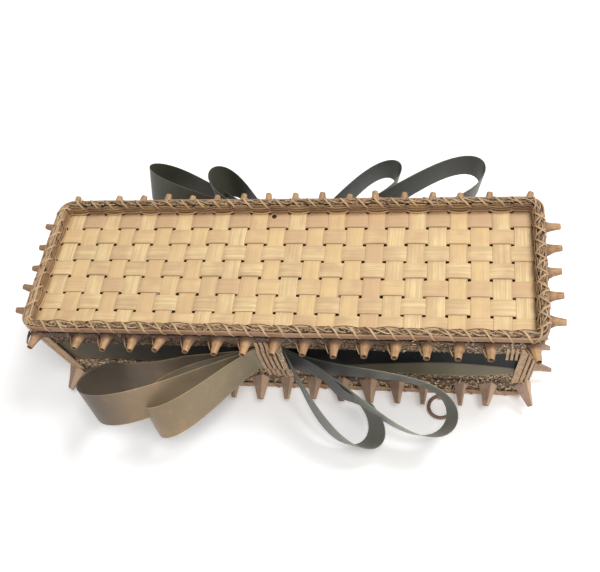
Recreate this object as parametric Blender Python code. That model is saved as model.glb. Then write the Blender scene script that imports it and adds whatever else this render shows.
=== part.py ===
"""A long, narrow box basket of ash splints. A plain-woven panel in a lashed rim is the lid, and it
drops into a leaning wall with braided rows, two rows of curled points and a ribbon tied in bows."""

import math

import bmesh
import bpy
import numpy as np

# Lid panel: two sets of splints in plain weave
CROSS_COUNT = 24
CROSS_PITCH = 0.0127
CROSS_WIDTH = 0.0105
LONG_COUNT = 7
LONG_PITCH = 0.0126
LONG_WIDTH = 0.0106
SPLINT_THICK = 0.0007
SPLINT_GAP = 0.0003
CORNER_TRIM = 0.0014

# Heights above the table
RIM_TOP = 0.085
PANEL_DEPTH = 0.008
RIM_HOOP_HEIGHT = 0.006
UPPER_STRIP_DROP = 0.0072
UPPER_STRIP_HEIGHT = 0.0062
RIBBON_MID_SHARE = 0.5706
RIBBON_WIDTH = 0.0254
LOWER_STRIP_TOP_SHARE = 0.253
LOWER_STRIP_HEIGHT = 0.0065
BASE_HOOP_HEIGHT = 0.0085

# Outline and lean of the wall
CORNER_RADIUS = 0.004
CORNER_STEPS = 4
BASE_INSET = 0.0059

# Layers, from the panel's edge outwards
FIT_GAP = 0.0003
LID_DROP_GAP = 0.0007
UPTURN_THICK = 0.0007
WEAVER_THICK = 0.001
WEAVER_HEIGHT = 0.0046
WEAVER_ROW_COUNT = 2
BASE_BRAID_ROW_COUNT = 1
RIM_BRAID_WIDTH = 0.0034
HOOP_THICK = 0.0012
WALL_THICK = 0.0013
BRAID_THICK = 0.0013
BRAID_ROW_HEIGHT = 0.0046
STRIP_THICK = 0.0006
FLOOR_THICK = 0.0016
RIBBON_THICK = 0.0003

# Curled points
UPPER_SIDE_COUNT = 15
LOWER_SIDE_COUNT = 15
END_COUNT = 5
UPPER_SPAN_SHARE = 0.786
LOWER_SPAN_SHARE = 0.81
END_SPAN_SHARE = 0.67
UPPER_CORNER_TURN = math.radians(80.0)
LOWER_CORNER_TURN = math.radians(66.0)
SIDE_SHIFT = 0.0026
UPPER_POINT_LENGTH = 0.0105
LOWER_POINT_LENGTH = 0.0125
POINT_SEAT = 0.0002
UPPER_ROOT_WIDTH = 0.0068
UPPER_ROOT_HEIGHT = 0.0054
UPPER_MOUTH_WIDTH = 0.0038
UPPER_MOUTH_HEIGHT = 0.0036
UPPER_RISE = 0.002
LOWER_ROOT_WIDTH = 0.0092
LOWER_ROOT_HEIGHT = 0.0062
LOWER_MOUTH_WIDTH = 0.0036
LOWER_MOUTH_HEIGHT = 0.0021
LOWER_DROP = 0.0068
POINT_WALL = 0.0006
MOUTH_DEPTH = 0.006
ROLL_SIDES = 6

# Posts: narrow uprights that pass in front of the ribbon
TINE_WIDTH = 0.0022
TINE_PITCH = 0.0031
TINE_THICK = 0.0007
POST_TINES = 5
CORNER_TINES = 5
POST_FOOT_HEIGHT = 0.0045
POST_BEND_HEIGHT = 0.0035
FRONT_POST_X = -0.0044
BACK_POST_X = 0.0

# Bows: each is one ribbon that passes behind its post between its four loops
BOW_LAYER_GAP = 0.0002
BOW_REACH = 0.135
BOW_STAND = 0.056
LOOP_FULLNESS = 0.017
LOOP_STEPS = 16
LOOP_CLEARANCE = 0.0036
POINT_CLEARANCE = 0.0014
POST_MARGIN = 0.0012

# Ring and its strap, on the lower front hoop
RING_RADIUS = 0.0075
RING_WIRE_RADIUS = 0.0011
RING_STEPS = 18
RING_SIDES = 6
RING_REST_HEIGHT = 0.0026
STRAP_WALL = 0.0006
STRAP_LENGTH = 0.0036
STRAP_PLAY = 0.0006
RING_ROOM = 0.003

# Each loop: reach along the wall, stand-off and drop as shares of the bow's sizes and of the ribbon's
# height, fullness as a share, the lean of the ribbon's upper edge and its heading in degrees, then how
# late the loop sags and how late it swells
FRONT_LOOP_SHARES = (
    ((-0.778, 0.581, -0.014), 1.82, (32.3, 129.3), (1.73, 1.81)),
    ((0.395, 0.654, 0.761), 1.12, (40.7, -39.4), (1.31, 1.42)),
    ((-0.484, 0.713, 0.184), 1.39, (29.8, 124.4), (1.86, 1.72)),
    ((0.746, 0.531, 0.416), 1.53, (30.8, -57.2), (1.12, 3.0)),
)
BACK_LOOP_SHARES = (
    ((-0.787, 0.895, 0.006), 0.93, (23.1, 70.8), (3.0, 2.6)),
    ((0.426, 0.826, -0.199), 0.80, (-18.3, 137.4), (1.61, 1.72)),
    ((-0.356, 0.561, -0.364), 1.03, (21.2, 122.8), (2.06, 2.6)),
    ((0.842, 0.659, -0.403), 1.30, (-16.0, 119.3), (2.01, 2.66)),
)

ASH = (0.76, 0.51, 0.24)
BROWN_ASH = (0.42, 0.24, 0.13)
CURLED_ASH = (0.50, 0.26, 0.12)
SHADED_ASH = (0.30, 0.17, 0.11)
SWEETGRASS = (0.30, 0.22, 0.10)
OLIVE_SATIN = (0.085, 0.09, 0.06)
DRY_ROUGHNESS = 0.7
SATIN_ROUGHNESS = 0.4
OPAQUE = 1.0
SMOOTH_ANGLE = math.radians(40.0)

# Sizes that follow
PANEL_TOP = RIM_TOP - PANEL_DEPTH
WAVE_HEIGHT = (SPLINT_THICK + SPLINT_GAP) / 2
PANEL_MID = PANEL_TOP - WAVE_HEIGHT - SPLINT_THICK / 2
PANEL_HALF_X = CROSS_COUNT * CROSS_PITCH / 2
PANEL_HALF_Y = LONG_COUNT * LONG_PITCH / 2
RIM_BOTTOM = RIM_TOP - RIM_HOOP_HEIGHT
WALL_TOP = RIM_BOTTOM - FIT_GAP
UPTURN_OUTER = FIT_GAP + UPTURN_THICK
RIM_BRAID_OUTER = UPTURN_OUTER + FIT_GAP + RIM_BRAID_WIDTH
RIM_HOOP_OUTER = RIM_BRAID_OUTER + FIT_GAP + HOOP_THICK
WALL_INNER = UPTURN_OUTER + LID_DROP_GAP
WALL_OUTER = WALL_INNER + WALL_THICK
BRAID_INNER = WALL_OUTER + FIT_GAP
BRAID_OUTER = BRAID_INNER + BRAID_THICK
STRIP_INNER = BRAID_OUTER + FIT_GAP
STRIP_OUTER = STRIP_INNER + STRIP_THICK
BASE_HOOP_INNER = BRAID_OUTER + FIT_GAP
BASE_HOOP_OUTER = BASE_HOOP_INNER + HOOP_THICK
UPPER_STRIP_TOP = RIM_TOP - UPPER_STRIP_DROP
RIBBON_MID = RIM_TOP * RIBBON_MID_SHARE
RIBBON_TOP = RIBBON_MID + RIBBON_WIDTH / 2
RIBBON_BOTTOM = RIBBON_MID - RIBBON_WIDTH / 2
LOWER_STRIP_TOP = RIM_TOP * LOWER_STRIP_TOP_SHARE
POINT_SLOPE_HEIGHT = RIBBON_BOTTOM - LOWER_STRIP_TOP - POST_FOOT_HEIGHT
BAND_OUTER = BRAID_INNER + RIBBON_THICK
BOW_LAYERS = len(FRONT_LOOP_SHARES) + 1
BOW_INNER = BAND_OUTER + FIT_GAP
BOW_STEP = RIBBON_THICK + BOW_LAYER_GAP
BOW_OUTER = BOW_INNER + BOW_LAYERS * BOW_STEP
POST_WIDTH = (POST_TINES - 1) * TINE_PITCH + TINE_WIDTH


def clear_scene():
    """Takes away whatever the scene starts with."""
    for item in list(bpy.data.objects):
        bpy.data.objects.remove(item, do_unlink=True)


def finish(item, colour, roughness=DRY_ROUGHNESS):
    """Gives a piece its own material: dry splint or grass, or satin ribbon."""
    made = bpy.data.materials.new(item.name + "_finish")
    made.use_nodes = True
    shader = made.node_tree.nodes["Principled BSDF"]
    shader.inputs["Base Color"].default_value = (*colour, OPAQUE)
    shader.inputs["Roughness"].default_value = roughness
    shader.inputs["Metallic"].default_value = 0.0
    item.data.materials.append(made)
    return item


def solid(name, points, faces, smooth=False):
    """An object from points and faces that agree in direction, with its faces turned outwards."""
    mesh = bpy.data.meshes.new(name)
    mesh.from_pydata([tuple(point) for point in points], [], faces)
    shape = bmesh.new()
    shape.from_mesh(mesh)
    if shape.calc_volume(signed=True) < 0:
        bmesh.ops.reverse_faces(shape, faces=shape.faces[:])
    shape.to_mesh(mesh)
    shape.free()
    if smooth:
        mesh.shade_smooth()
        mesh.set_sharp_from_angle(angle=SMOOTH_ANGLE)
    item = bpy.data.objects.new(name, mesh)
    bpy.context.scene.collection.objects.link(item)
    return item


def swept_faces(stations, sides, closed):
    """Quads between neighbouring stations of a sweep, with end caps where it is open."""
    faces = []
    for station in range(stations if closed else stations - 1):
        here = station * sides
        there = (station + 1) % stations * sides
        for side in range(sides):
            after = (side + 1) % sides
            faces.append((here + side, here + after, there + after, there + side))
    if not closed:
        faces.append(tuple(reversed(range(sides))))
        faces.append(tuple(range((stations - 1) * sides, stations * sides)))
    return faces


def swept(name, grid, closed=False, smooth=False):
    """A solid from a grid of stations by profile points."""
    stations, sides = grid.shape[:2]
    return solid(name, grid.reshape(-1, 3), swept_faces(stations, sides, closed), smooth)


def fused(body, extras):
    """Joins loose shapes to the piece that carries them, so that they are one body."""
    extras.hide_render = True
    extras.display_type = "WIRE"
    union = body.modifiers.new("joined", "BOOLEAN")
    union.operation = "UNION"
    union.solver = "EXACT"
    union.object = extras
    return body


def lean(z):
    """How far the wall stands inside its top outline at height z."""
    return -BASE_INSET * max(0.0, 1 - z / WALL_TOP)


def outline(offset, inset, steps=CORNER_STEPS):
    """Points round a rounded rectangle that lies offset outside the panel, drawn in by inset."""
    radius = CORNER_RADIUS + offset
    turn = np.linspace(0.0, math.pi / 2, steps + 1)
    arc = radius * np.c_[np.cos(turn), np.sin(turn)]
    centre = np.array([PANEL_HALF_X + inset - CORNER_RADIUS, PANEL_HALF_Y + inset - CORNER_RADIUS])
    first = centre + arc
    second = (centre + arc[::-1]) * (-1, 1)
    return np.vstack([first, second, -first, -second])


def ring_band(name, profile, leaning=True, smooth=False):
    """A closed band: a profile of offsets and heights carried round the basket."""
    columns = []
    for offset, z in profile:
        around = outline(offset, lean(z) if leaning else 0.0)
        columns.append(np.c_[around, np.full(len(around), z)])
    return swept(name, np.stack(columns, axis=1), closed=True, smooth=smooth)


def slab_profile(inner, outer, bottom, top):
    """Four corners of a flat band's section."""
    return ((inner, bottom), (outer, bottom), (outer, top), (inner, top))


def braid_profile(inner, outer, bottom, top, rows):
    """A flat back and one low swell for each braided row."""
    row = (top - bottom) / rows
    waist = inner + (outer - inner) / 2
    points = [(inner, top), (inner, bottom), (waist, bottom)]
    for index in range(rows):
        points.append((outer, bottom + (index + 1 / 2) * row))
        points.append((waist, bottom + (index + 1) * row))
    return points


def weave_heights(first, count):
    """Over and under along one splint: the sign of its height at each crossing."""
    return [1 if (first + other) % 2 == 0 else -1 for other in range(count)]


def woven_path(signs, pitch, width, half_length):
    """Places along a splint and its heights there: flat over each crossing, sloping in the gaps."""
    places, heights = [], []
    for index, sign in enumerate(signs):
        middle = (index - (len(signs) - 1) / 2) * pitch
        places += [middle - width / 2, middle + width / 2]
        heights += [sign * WAVE_HEIGHT] * 2
    places[0], places[-1] = -half_length, half_length
    return np.array(places), np.array(heights)


def splint(name, places, heights, across, width, lengthwise):
    """One flat splint that follows its waved path through the panel."""
    grid = np.zeros((len(places), 4, 3))
    run, side = (0, 1) if lengthwise else (1, 0)
    sides = np.array([-1, 1, 1, -1]) * width / 2
    thick = np.array([-1, -1, 1, 1]) * SPLINT_THICK / 2
    grid[:, :, run] = places[:, None]
    grid[:, :, side] = across + sides[None, :]
    grid[:, :, 2] = PANEL_MID + heights[:, None] + thick[None, :]
    return finish(swept(name, grid), ASH)


def lid_panel():
    """The woven panel. Rows count from the back, and crosswise splints from the left."""
    for index in range(CROSS_COUNT):
        signs = weave_heights(index + LONG_COUNT + 1, LONG_COUNT)
        trim = CORNER_TRIM if index in (0, CROSS_COUNT - 1) else 0.0
        path = woven_path(signs, LONG_PITCH, LONG_WIDTH, PANEL_HALF_Y - trim)
        x = (index - (CROSS_COUNT - 1) / 2) * CROSS_PITCH
        splint(f"lid_cross_splint_{index + 1:02d}", *path, x, CROSS_WIDTH, lengthwise=False)
    for index in range(LONG_COUNT):
        signs = [-sign for sign in weave_heights(index, CROSS_COUNT)]
        trim = CORNER_TRIM if index in (0, LONG_COUNT - 1) else 0.0
        path = woven_path(signs, CROSS_PITCH, CROSS_WIDTH, PANEL_HALF_X - trim)
        y = ((LONG_COUNT - 1) / 2 - index) * LONG_PITCH
        splint(f"lid_long_splint_{index + 1}", *path, y, LONG_WIDTH, lengthwise=True)


def lid_rim():
    """The turned-up splint ends, the weavers inside them, and the grass braid and hoop outside."""
    foot = PANEL_MID - WAVE_HEIGHT - SPLINT_THICK / 2
    upturn = slab_profile(FIT_GAP, UPTURN_OUTER, foot, RIM_TOP - FIT_GAP)
    finish(ring_band("lid_upturned_ends", upturn, leaning=False), ASH)
    low = PANEL_TOP + FIT_GAP
    weaver = braid_profile(0.0, -WEAVER_THICK, low, low + WEAVER_HEIGHT, WEAVER_ROW_COUNT)
    finish(ring_band("lid_inner_weaver", weaver, leaning=False), BROWN_ASH)
    inner, outer = UPTURN_OUTER + FIT_GAP, RIM_BRAID_OUTER
    shoulder = (outer - inner) / 4
    braid = (
        (inner, RIM_BOTTOM),
        (outer, RIM_BOTTOM),
        (outer, RIM_TOP - shoulder),
        (outer - shoulder, RIM_TOP),
        (inner + shoulder, RIM_TOP),
        (inner, RIM_TOP - shoulder),
    )
    finish(ring_band("lid_rim_braid", braid, leaning=False, smooth=True), SWEETGRASS)
    hoop = slab_profile(outer + FIT_GAP, RIM_HOOP_OUTER, RIM_BOTTOM, RIM_TOP - SPLINT_THICK)
    finish(ring_band("lid_rim_hoop", hoop, leaning=False), BROWN_ASH)


def floor():
    """The closed woven bottom, as one flat sheet inside the foot of the wall."""
    edge = outline(WALL_INNER - FIT_GAP, lean(0.0))
    levels = [np.c_[edge, np.full(len(edge), z)] for z in (0.0, FLOOR_THICK)]
    finish(swept("basket_floor", np.stack(levels)), ASH)


def wall():
    """The leaning wall of standing splints, from the table to under the lid's rim."""
    section = slab_profile(WALL_INNER, WALL_OUTER, 0.0, WALL_TOP)
    finish(ring_band("basket_wall", section), ASH)


def wall_braids():
    """Rows of braided grass above and below the ribbon, and the braid and hoop at the foot."""
    upper = (RIBBON_TOP + FIT_GAP, WALL_TOP)
    lower = (BASE_HOOP_HEIGHT + FIT_GAP, RIBBON_BOTTOM - FIT_GAP)
    for name, (bottom, top) in (("upper_grass_rows", upper), ("lower_grass_rows", lower)):
        rows = round((top - bottom) / BRAID_ROW_HEIGHT)
        section = braid_profile(BRAID_INNER, BRAID_OUTER, bottom, top, rows)
        finish(ring_band(name, section), SWEETGRASS)
    foot = braid_profile(BRAID_INNER, BRAID_OUTER, 0.0, BASE_HOOP_HEIGHT, BASE_BRAID_ROW_COUNT)
    finish(ring_band("base_braid", foot), SWEETGRASS)
    hoop = slab_profile(BASE_HOOP_INNER, BASE_HOOP_OUTER, 0.0, BASE_HOOP_HEIGHT - SPLINT_THICK)
    finish(ring_band("base_hoop", hoop), BROWN_ASH)


def ribbon_band():
    """The ribbon that runs round the wall between the braided rows."""
    section = slab_profile(BRAID_INNER, BAND_OUTER, RIBBON_BOTTOM, RIBBON_TOP)
    finish(ring_band("ribbon_band", section), OLIVE_SATIN, SATIN_ROUGHNESS)


def evenly(count, span):
    """Places of evenly spaced points along the middle part of a side."""
    return [(index / (count - 1) - 1 / 2) * span for index in range(count)]


def side_places(count, half_length, share, room=0.0):
    """Places of the points along a long side. The row sits a little to the right of the middle, and
    room widens the gap before its last two points, where the ring lies."""
    places = evenly(count, 2 * half_length * share)
    shifts = [SIDE_SHIFT - room] * (count - 2) + [SIDE_SHIFT] * 2
    return [x + shift for x, shift in zip(places, shifts)]


def point_frames(side_count, offset, z, share, corner_turn, room):
    """Where each point grows from the strip, and which way it stands out, corner points too."""
    grow = offset + lean(z)
    half_x, half_y = PANEL_HALF_X + grow, PANEL_HALF_Y + grow
    frames = []
    for sign in (-1, 1):
        places = side_places(side_count, half_x, share, room)
        frames += [((x, sign * half_y, z), (0, sign, 0)) for x in places]
        end_places = evenly(END_COUNT, 2 * half_y * END_SPAN_SHARE)
        frames += [((sign * half_x, y, z), (sign, 0, 0)) for y in end_places]
    radius = CORNER_RADIUS + offset
    along, away = math.cos(corner_turn), math.sin(corner_turn)
    for x, y in ((-1, -1), (1, -1), (1, 1), (-1, 1)):
        place = (
            x * (PANEL_HALF_X + lean(z) - CORNER_RADIUS + radius * along),
            y * (PANEL_HALF_Y + lean(z) - CORNER_RADIUS + radius * away),
            z,
        )
        frames.append((place, (x * along, y * away, 0)))
    return frames


def hollow_point(frame, section, root, mouth, length, drop):
    """One curl: it tapers from root to mouth, falls by drop, and is open at its end."""
    place, out = np.array(frame[0]), np.array(frame[1])
    aside = np.array([-out[1], out[0], 0.0])
    up = np.array([0.0, 0.0, 1.0])
    inner = np.array(mouth) - 2 * POINT_WALL
    deep = inner + (np.array(root) - mouth) * MOUTH_DEPTH / length
    back = length - MOUTH_DEPTH
    rings = []
    for (wide, high), along in (
        (root, -STRIP_THICK / 2),
        (mouth, length),
        (inner, length),
        (deep, back),
    ):
        fall = drop * max(0.0, along) / length
        middle = place + out * along - up * fall
        rings.append(
            middle + section[:, :1] * wide / 2 * aside + section[:, 1:] * high / 2 * up
        )
    return np.stack(rings)


def point_row(name, strip, frames, section, root, mouth, length, drop, colour):
    """A weaver with its curls: a narrow strip round the wall, and the points that it forms."""
    points, faces = [], []
    for frame in frames:
        rings = hollow_point(frame, section, root, mouth, length, drop)
        start = len(points)
        points += list(rings.reshape(-1, 3))
        found = swept_faces(len(rings), len(section), closed=False)
        faces += [tuple(start + corner for corner in face) for face in found]
    extras = solid(name + "_curls", points, faces)
    finish(fused(ring_band(name, strip), extras), colour)


def rolled_section():
    """A round section, for a splint that is rolled into a tube."""
    turn = np.arange(ROLL_SIDES) * 2 * math.pi / ROLL_SIDES
    return np.c_[np.cos(turn), np.sin(turn)]


def folded_section():
    """A flat-topped section, for a splint that is folded into a spike."""
    return np.array([(-1, 1), (1, 1), (1 / 2, -1), (-1 / 2, -1)], float)


def points():
    """The upper row of rolled points and the lower row of folded ones."""
    upper_mid = UPPER_STRIP_TOP - UPPER_STRIP_HEIGHT / 2
    lower_mid = LOWER_STRIP_TOP - LOWER_STRIP_HEIGHT / 2
    offset = STRIP_OUTER - POINT_SEAT
    upper_strip = slab_profile(
        STRIP_INNER, STRIP_OUTER, UPPER_STRIP_TOP - UPPER_STRIP_HEIGHT, UPPER_STRIP_TOP
    )
    lower_strip = slab_profile(
        STRIP_INNER, STRIP_OUTER, LOWER_STRIP_TOP - LOWER_STRIP_HEIGHT, LOWER_STRIP_TOP
    )
    point_row(
        "upper_point_weaver",
        upper_strip,
        point_frames(UPPER_SIDE_COUNT, offset, upper_mid, UPPER_SPAN_SHARE, UPPER_CORNER_TURN, 0.0),
        rolled_section(),
        (UPPER_ROOT_WIDTH, UPPER_ROOT_HEIGHT),
        (UPPER_MOUTH_WIDTH, UPPER_MOUTH_HEIGHT),
        UPPER_POINT_LENGTH,
        -UPPER_RISE,
        CURLED_ASH,
    )
    point_row(
        "lower_point_weaver",
        lower_strip,
        point_frames(LOWER_SIDE_COUNT, offset, lower_mid, LOWER_SPAN_SHARE, LOWER_CORNER_TURN, RING_ROOM),
        folded_section(),
        (LOWER_ROOT_WIDTH, LOWER_ROOT_HEIGHT),
        (LOWER_MOUTH_WIDTH, LOWER_MOUTH_HEIGHT),
        LOWER_POINT_LENGTH,
        LOWER_DROP,
        SHADED_ASH,
    )


def post_places(bulge):
    """Heights up a post and its inner offset there: it steps out over the ribbon by bulge."""
    low = LOWER_STRIP_TOP + FIT_GAP
    high = UPPER_STRIP_TOP - UPPER_STRIP_HEIGHT - FIT_GAP
    return (
        (low, STRIP_INNER),
        (low + POST_FOOT_HEIGHT, STRIP_INNER),
        (RIBBON_BOTTOM - POST_BEND_HEIGHT, STRIP_INNER),
        (RIBBON_BOTTOM, bulge),
        (RIBBON_TOP, bulge),
        (RIBBON_TOP + POST_BEND_HEIGHT, STRIP_INNER),
        (high, STRIP_INNER),
    )


def centre_post(name, middle, side):
    """Five narrow uprights in front of the bow, still one splint at the foot."""
    places = post_places(BOW_OUTER + FIT_GAP)

    def strip(left, right, heights):
        grid = []
        for z, inner in heights:
            near = side * (PANEL_HALF_Y + inner + lean(z))
            far = near + side * TINE_THICK
            grid.append([(left, near, z), (right, near, z), (right, far, z), (left, far, z)])
        return np.array(grid)

    points, faces = [], []
    for index in range(POST_TINES):
        left = middle - POST_WIDTH / 2 + index * TINE_PITCH
        grid = strip(left, left + TINE_WIDTH, places)
        start = len(points)
        points += list(grid.reshape(-1, 3))
        found = swept_faces(len(grid), grid.shape[1], closed=False)
        faces += [tuple(start + corner for corner in face) for face in found]
    tines = solid(name + "_tines", points, faces)
    foot = strip(middle - POST_WIDTH / 2, middle + POST_WIDTH / 2, places[:2])
    finish(fused(swept(name, foot), tines), CURLED_ASH)


def corner_strip(x, y, turns, heights):
    """A strip that follows one corner between two turns, measured from the X axis."""
    grid = []
    for turn in turns:
        out = np.array([x * math.cos(turn), y * math.sin(turn)])
        row = []
        for z, inner in heights:
            for radius in (CORNER_RADIUS + inner, CORNER_RADIUS + inner + TINE_THICK):
                centre = np.array([PANEL_HALF_X, PANEL_HALF_Y]) + lean(z) - CORNER_RADIUS
                row.append((*(centre * (x, y) + out * radius), z))
        low, high = row[: len(row) // 2], row[len(row) // 2 :]
        grid.append([*low, *high[::-1]])
    return np.array(grid)


def corner_post(name, x, y):
    """Five narrow uprights round a corner, in front of the ribbon, joined at the foot."""
    places = post_places(STRIP_INNER)
    low, foot_top, high = places[0], places[1], places[-1]
    step = TINE_PITCH / (CORNER_RADIUS + STRIP_INNER)
    half = TINE_WIDTH / 2 / (CORNER_RADIUS + STRIP_INNER)
    middles = [math.pi / 4 + (index - (CORNER_TINES - 1) / 2) * step for index in range(CORNER_TINES)]
    points, faces = [], []
    for middle in middles:
        grid = corner_strip(x, y, (middle - half, middle + half), (low, high))
        start = len(points)
        points += list(grid.reshape(-1, 3))
        found = swept_faces(len(grid), grid.shape[1], closed=False)
        faces += [tuple(start + corner for corner in face) for face in found]
    tines = solid(name + "_tines", points, faces)
    turns = np.linspace(middles[0] - half, middles[-1] + half, CORNER_STEPS)
    foot = swept(name, corner_strip(x, y, turns, (low, foot_top)))
    finish(fused(foot, tines), CURLED_ASH)


def posts():
    """The uprights that hold the ribbon: at the middle of each long side and at each corner."""
    centre_post("front_centre_post", FRONT_POST_X, -1)
    centre_post("back_centre_post", BACK_POST_X, 1)
    corners = {"front_left": (-1, -1), "front_right": (1, -1), "back_left": (-1, 1), "back_right": (1, 1)}
    for place, (x, y) in corners.items():
        corner_post(place + "_corner_post", x, y)


def heading(lean_degrees, heading_degrees):
    """The direction of the ribbon's upper edge, from its lean off the vertical and its heading."""
    tilt, turn = math.radians(lean_degrees), math.radians(heading_degrees)
    flat = math.sin(tilt)
    return np.array([flat * math.cos(turn), flat * math.sin(turn), math.cos(tilt)])


def unit(vector):
    """The same direction with length one, for one vector or for a row of them."""
    return vector / np.linalg.norm(vector, axis=-1, keepdims=True)


def loop_path(start, end, tip, fullness, upright, edge, powers):
    """A drop-shaped loop from start out to tip and back to end. The ribbon stands upright at the
    wall and turns to its own lean on the way out, and neither of its strands enters the wall."""
    sag_power, swell_power = powers
    t = np.linspace(0.0, 1.0, LOOP_STEPS + 1)[:, None]
    root = start + (end - start) * t
    away = np.sin(math.pi * t) ** 2
    wide = unit(upright + (edge - upright) * away)
    across = unit(np.cross(edge, tip - root))
    swing = fullness * np.sin(2 * math.pi * t) * away ** (swell_power / 2)
    shares = np.hstack([away, away, away**sag_power])
    path = root + (tip - root) * shares + across * swing
    side = np.sign(start[1])
    tilt = RIBBON_WIDTH / 2 * np.abs(wide[:, 1] - upright[1])
    low_edge = path[:, 2] - RIBBON_WIDTH / 2 * wide[:, 2]
    lowered = np.clip((LOWER_STRIP_TOP + POINT_SLOPE_HEIGHT - low_edge) / POINT_SLOPE_HEIGHT, 0.0, 1.0)
    spread = LOOP_CLEARANCE * np.sin(math.pi * t[:, 0])
    nearest = side * root[:, 1] + tilt + np.maximum(spread, lowered * (LOWER_POINT_LENGTH + POINT_CLEARANCE))
    path[:, 1] = side * np.maximum(side * path[:, 1], nearest)
    return path, wide


def bow_path(middle, side, shares):
    """The whole ribbon of a bow: behind the post, out to a loop, back behind the post, and so on."""
    half = POST_WIDTH / 2 + POST_MARGIN
    mid_lean = PANEL_HALF_Y + lean(RIBBON_MID)
    upright = unit(np.array([0.0, side * BASE_INSET, WALL_TOP]))

    def behind(x, layer):
        return np.array([middle + x, side * (mid_lean + BOW_OUTER - (layer + 1) * BOW_STEP), RIBBON_MID])

    path, wide = [behind(0.0, 0)[None]], [upright[None]]
    for layer, (place, full, turns, powers) in enumerate(shares):
        across = math.copysign(half, place[0])
        start, end = behind(across, layer), behind(across, layer + 1)
        reach = np.array([place[0] * BOW_REACH, side * place[1] * BOW_STAND, -place[2] * RIBBON_MID])
        tip = start + reach
        points, edges = loop_path(start, end, tip, full * LOOP_FULLNESS, upright, heading(*turns), powers)
        path.append(points)
        wide.append(edges)
    path.append(behind(0.0, BOW_LAYERS - 1)[None])
    wide.append(upright[None])
    return np.vstack(path), np.vstack(wide)


def ribbon_faces(stations, sides):
    """The faces of a thin strip, whose two broad sides are split along the same diagonals."""
    faces = []
    for face in swept_faces(stations, sides, closed=False):
        low, after, there_after, there_low = face
        if low % sides == 0:
            faces += [(low, after, there_after), (low, there_after, there_low)]
        else:
            faces += [(low, after, there_low), (after, there_after, there_low)]
    return faces


def ribbon(name, path, wide):
    """A flat ribbon carried along a path, with its width along wide."""
    along = unit(np.gradient(path, axis=0))
    through = unit(np.cross(along, wide)) * RIBBON_THICK / 2
    half = wide * RIBBON_WIDTH / 2
    corners = [path - half - through, path + half - through, path + half + through, path - half + through]
    grid = np.stack(corners, axis=1)
    faces = ribbon_faces(*grid.shape[:2])
    made = solid(name, grid.reshape(-1, 3), faces, smooth=True)
    return finish(made, OLIVE_SATIN, SATIN_ROUGHNESS)


def bows():
    """One bow at the middle of each long side."""
    ribbon("front_bow", *bow_path(FRONT_POST_X, -1, FRONT_LOOP_SHARES))
    ribbon("back_bow", *bow_path(BACK_POST_X, 1, BACK_LOOP_SHARES))


def ring_and_strap():
    """A small ring of splint that lies on the table, and the strap that holds it to the hoop."""
    half_x = PANEL_HALF_X + STRIP_OUTER + lean(0.0)
    beside = side_places(LOWER_SIDE_COUNT, half_x, LOWER_SPAN_SHARE, RING_ROOM)
    x = (beside[-2] + beside[-3]) / 2
    hoop_face = -(PANEL_HALF_Y + BASE_HOOP_OUTER + lean(RING_REST_HEIGHT))
    hole = 2 * (RING_WIRE_RADIUS + STRAP_PLAY)
    near = hoop_face - FIT_GAP
    axis_y = near - STRAP_WALL - hole / 2
    turn = np.arange(RING_STEPS) * 2 * math.pi / RING_STEPS
    round_wire = np.arange(RING_SIDES) * 2 * math.pi / RING_SIDES
    radius = RING_RADIUS + RING_WIRE_RADIUS * np.cos(round_wire)[None, :]
    grid = np.stack(
        [
            radius * np.sin(turn)[:, None],
            radius * np.cos(turn)[:, None] - RING_RADIUS,
            np.broadcast_to(RING_WIRE_RADIUS * np.sin(round_wire), radius.shape[:1] + round_wire.shape)
            + np.zeros((len(turn), 1)),
        ],
        axis=2,
    )
    ring = finish(swept("lifting_ring", grid, closed=True, smooth=True), BROWN_ASH)
    ring.location = (x, axis_y, RING_REST_HEIGHT)
    section = []
    for half in (hole / 2 + STRAP_WALL, hole / 2):
        corners = ((-half, -half), (half, -half), (half, half), (-half, half))
        section.append([(axis_y + y, RING_REST_HEIGHT + z) for y, z in corners])
    outer, inner = section
    left, right = x - STRAP_LENGTH / 2, x + STRAP_LENGTH / 2
    grid = [
        [(left, *far), (right, *far), (right, *close), (left, *close)]
        for far, close in zip(outer, inner)
    ]
    finish(swept("ring_strap", np.array(grid), closed=True), CURLED_ASH)


def build():
    """Builds the basket from its floor up, then the lid and the trimmings."""
    clear_scene()
    floor()
    wall()
    wall_braids()
    ribbon_band()
    points()
    posts()
    bows()
    ring_and_strap()
    lid_panel()
    lid_rim()


build()
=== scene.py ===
import math

import bpy
import mathutils
import numpy as np
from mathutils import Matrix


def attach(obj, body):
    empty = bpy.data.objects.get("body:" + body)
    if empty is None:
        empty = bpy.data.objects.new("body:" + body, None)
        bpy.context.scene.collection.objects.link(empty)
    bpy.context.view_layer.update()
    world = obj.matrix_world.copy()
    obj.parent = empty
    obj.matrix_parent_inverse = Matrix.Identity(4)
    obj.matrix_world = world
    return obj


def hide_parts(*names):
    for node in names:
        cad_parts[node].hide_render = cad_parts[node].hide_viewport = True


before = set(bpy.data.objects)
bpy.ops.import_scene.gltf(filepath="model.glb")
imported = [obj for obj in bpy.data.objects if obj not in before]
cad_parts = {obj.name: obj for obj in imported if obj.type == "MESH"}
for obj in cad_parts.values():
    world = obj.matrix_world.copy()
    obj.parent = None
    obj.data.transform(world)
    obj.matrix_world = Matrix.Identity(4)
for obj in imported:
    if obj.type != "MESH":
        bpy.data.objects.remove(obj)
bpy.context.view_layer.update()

# Camera: it looks down on the lid from the front, a little right of the middle and slightly turned,
# from about half a metre away.
view_place = (0.10848, -0.27419, 0.48485)
view_forward = mathutils.Vector((-0.19209, 0.53025, -0.82579)).normalized()
view_right = mathutils.Vector((0.98131, 0.11369, -0.15527))
view_right = (view_right - view_forward * view_right.dot(view_forward)).normalized()
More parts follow.
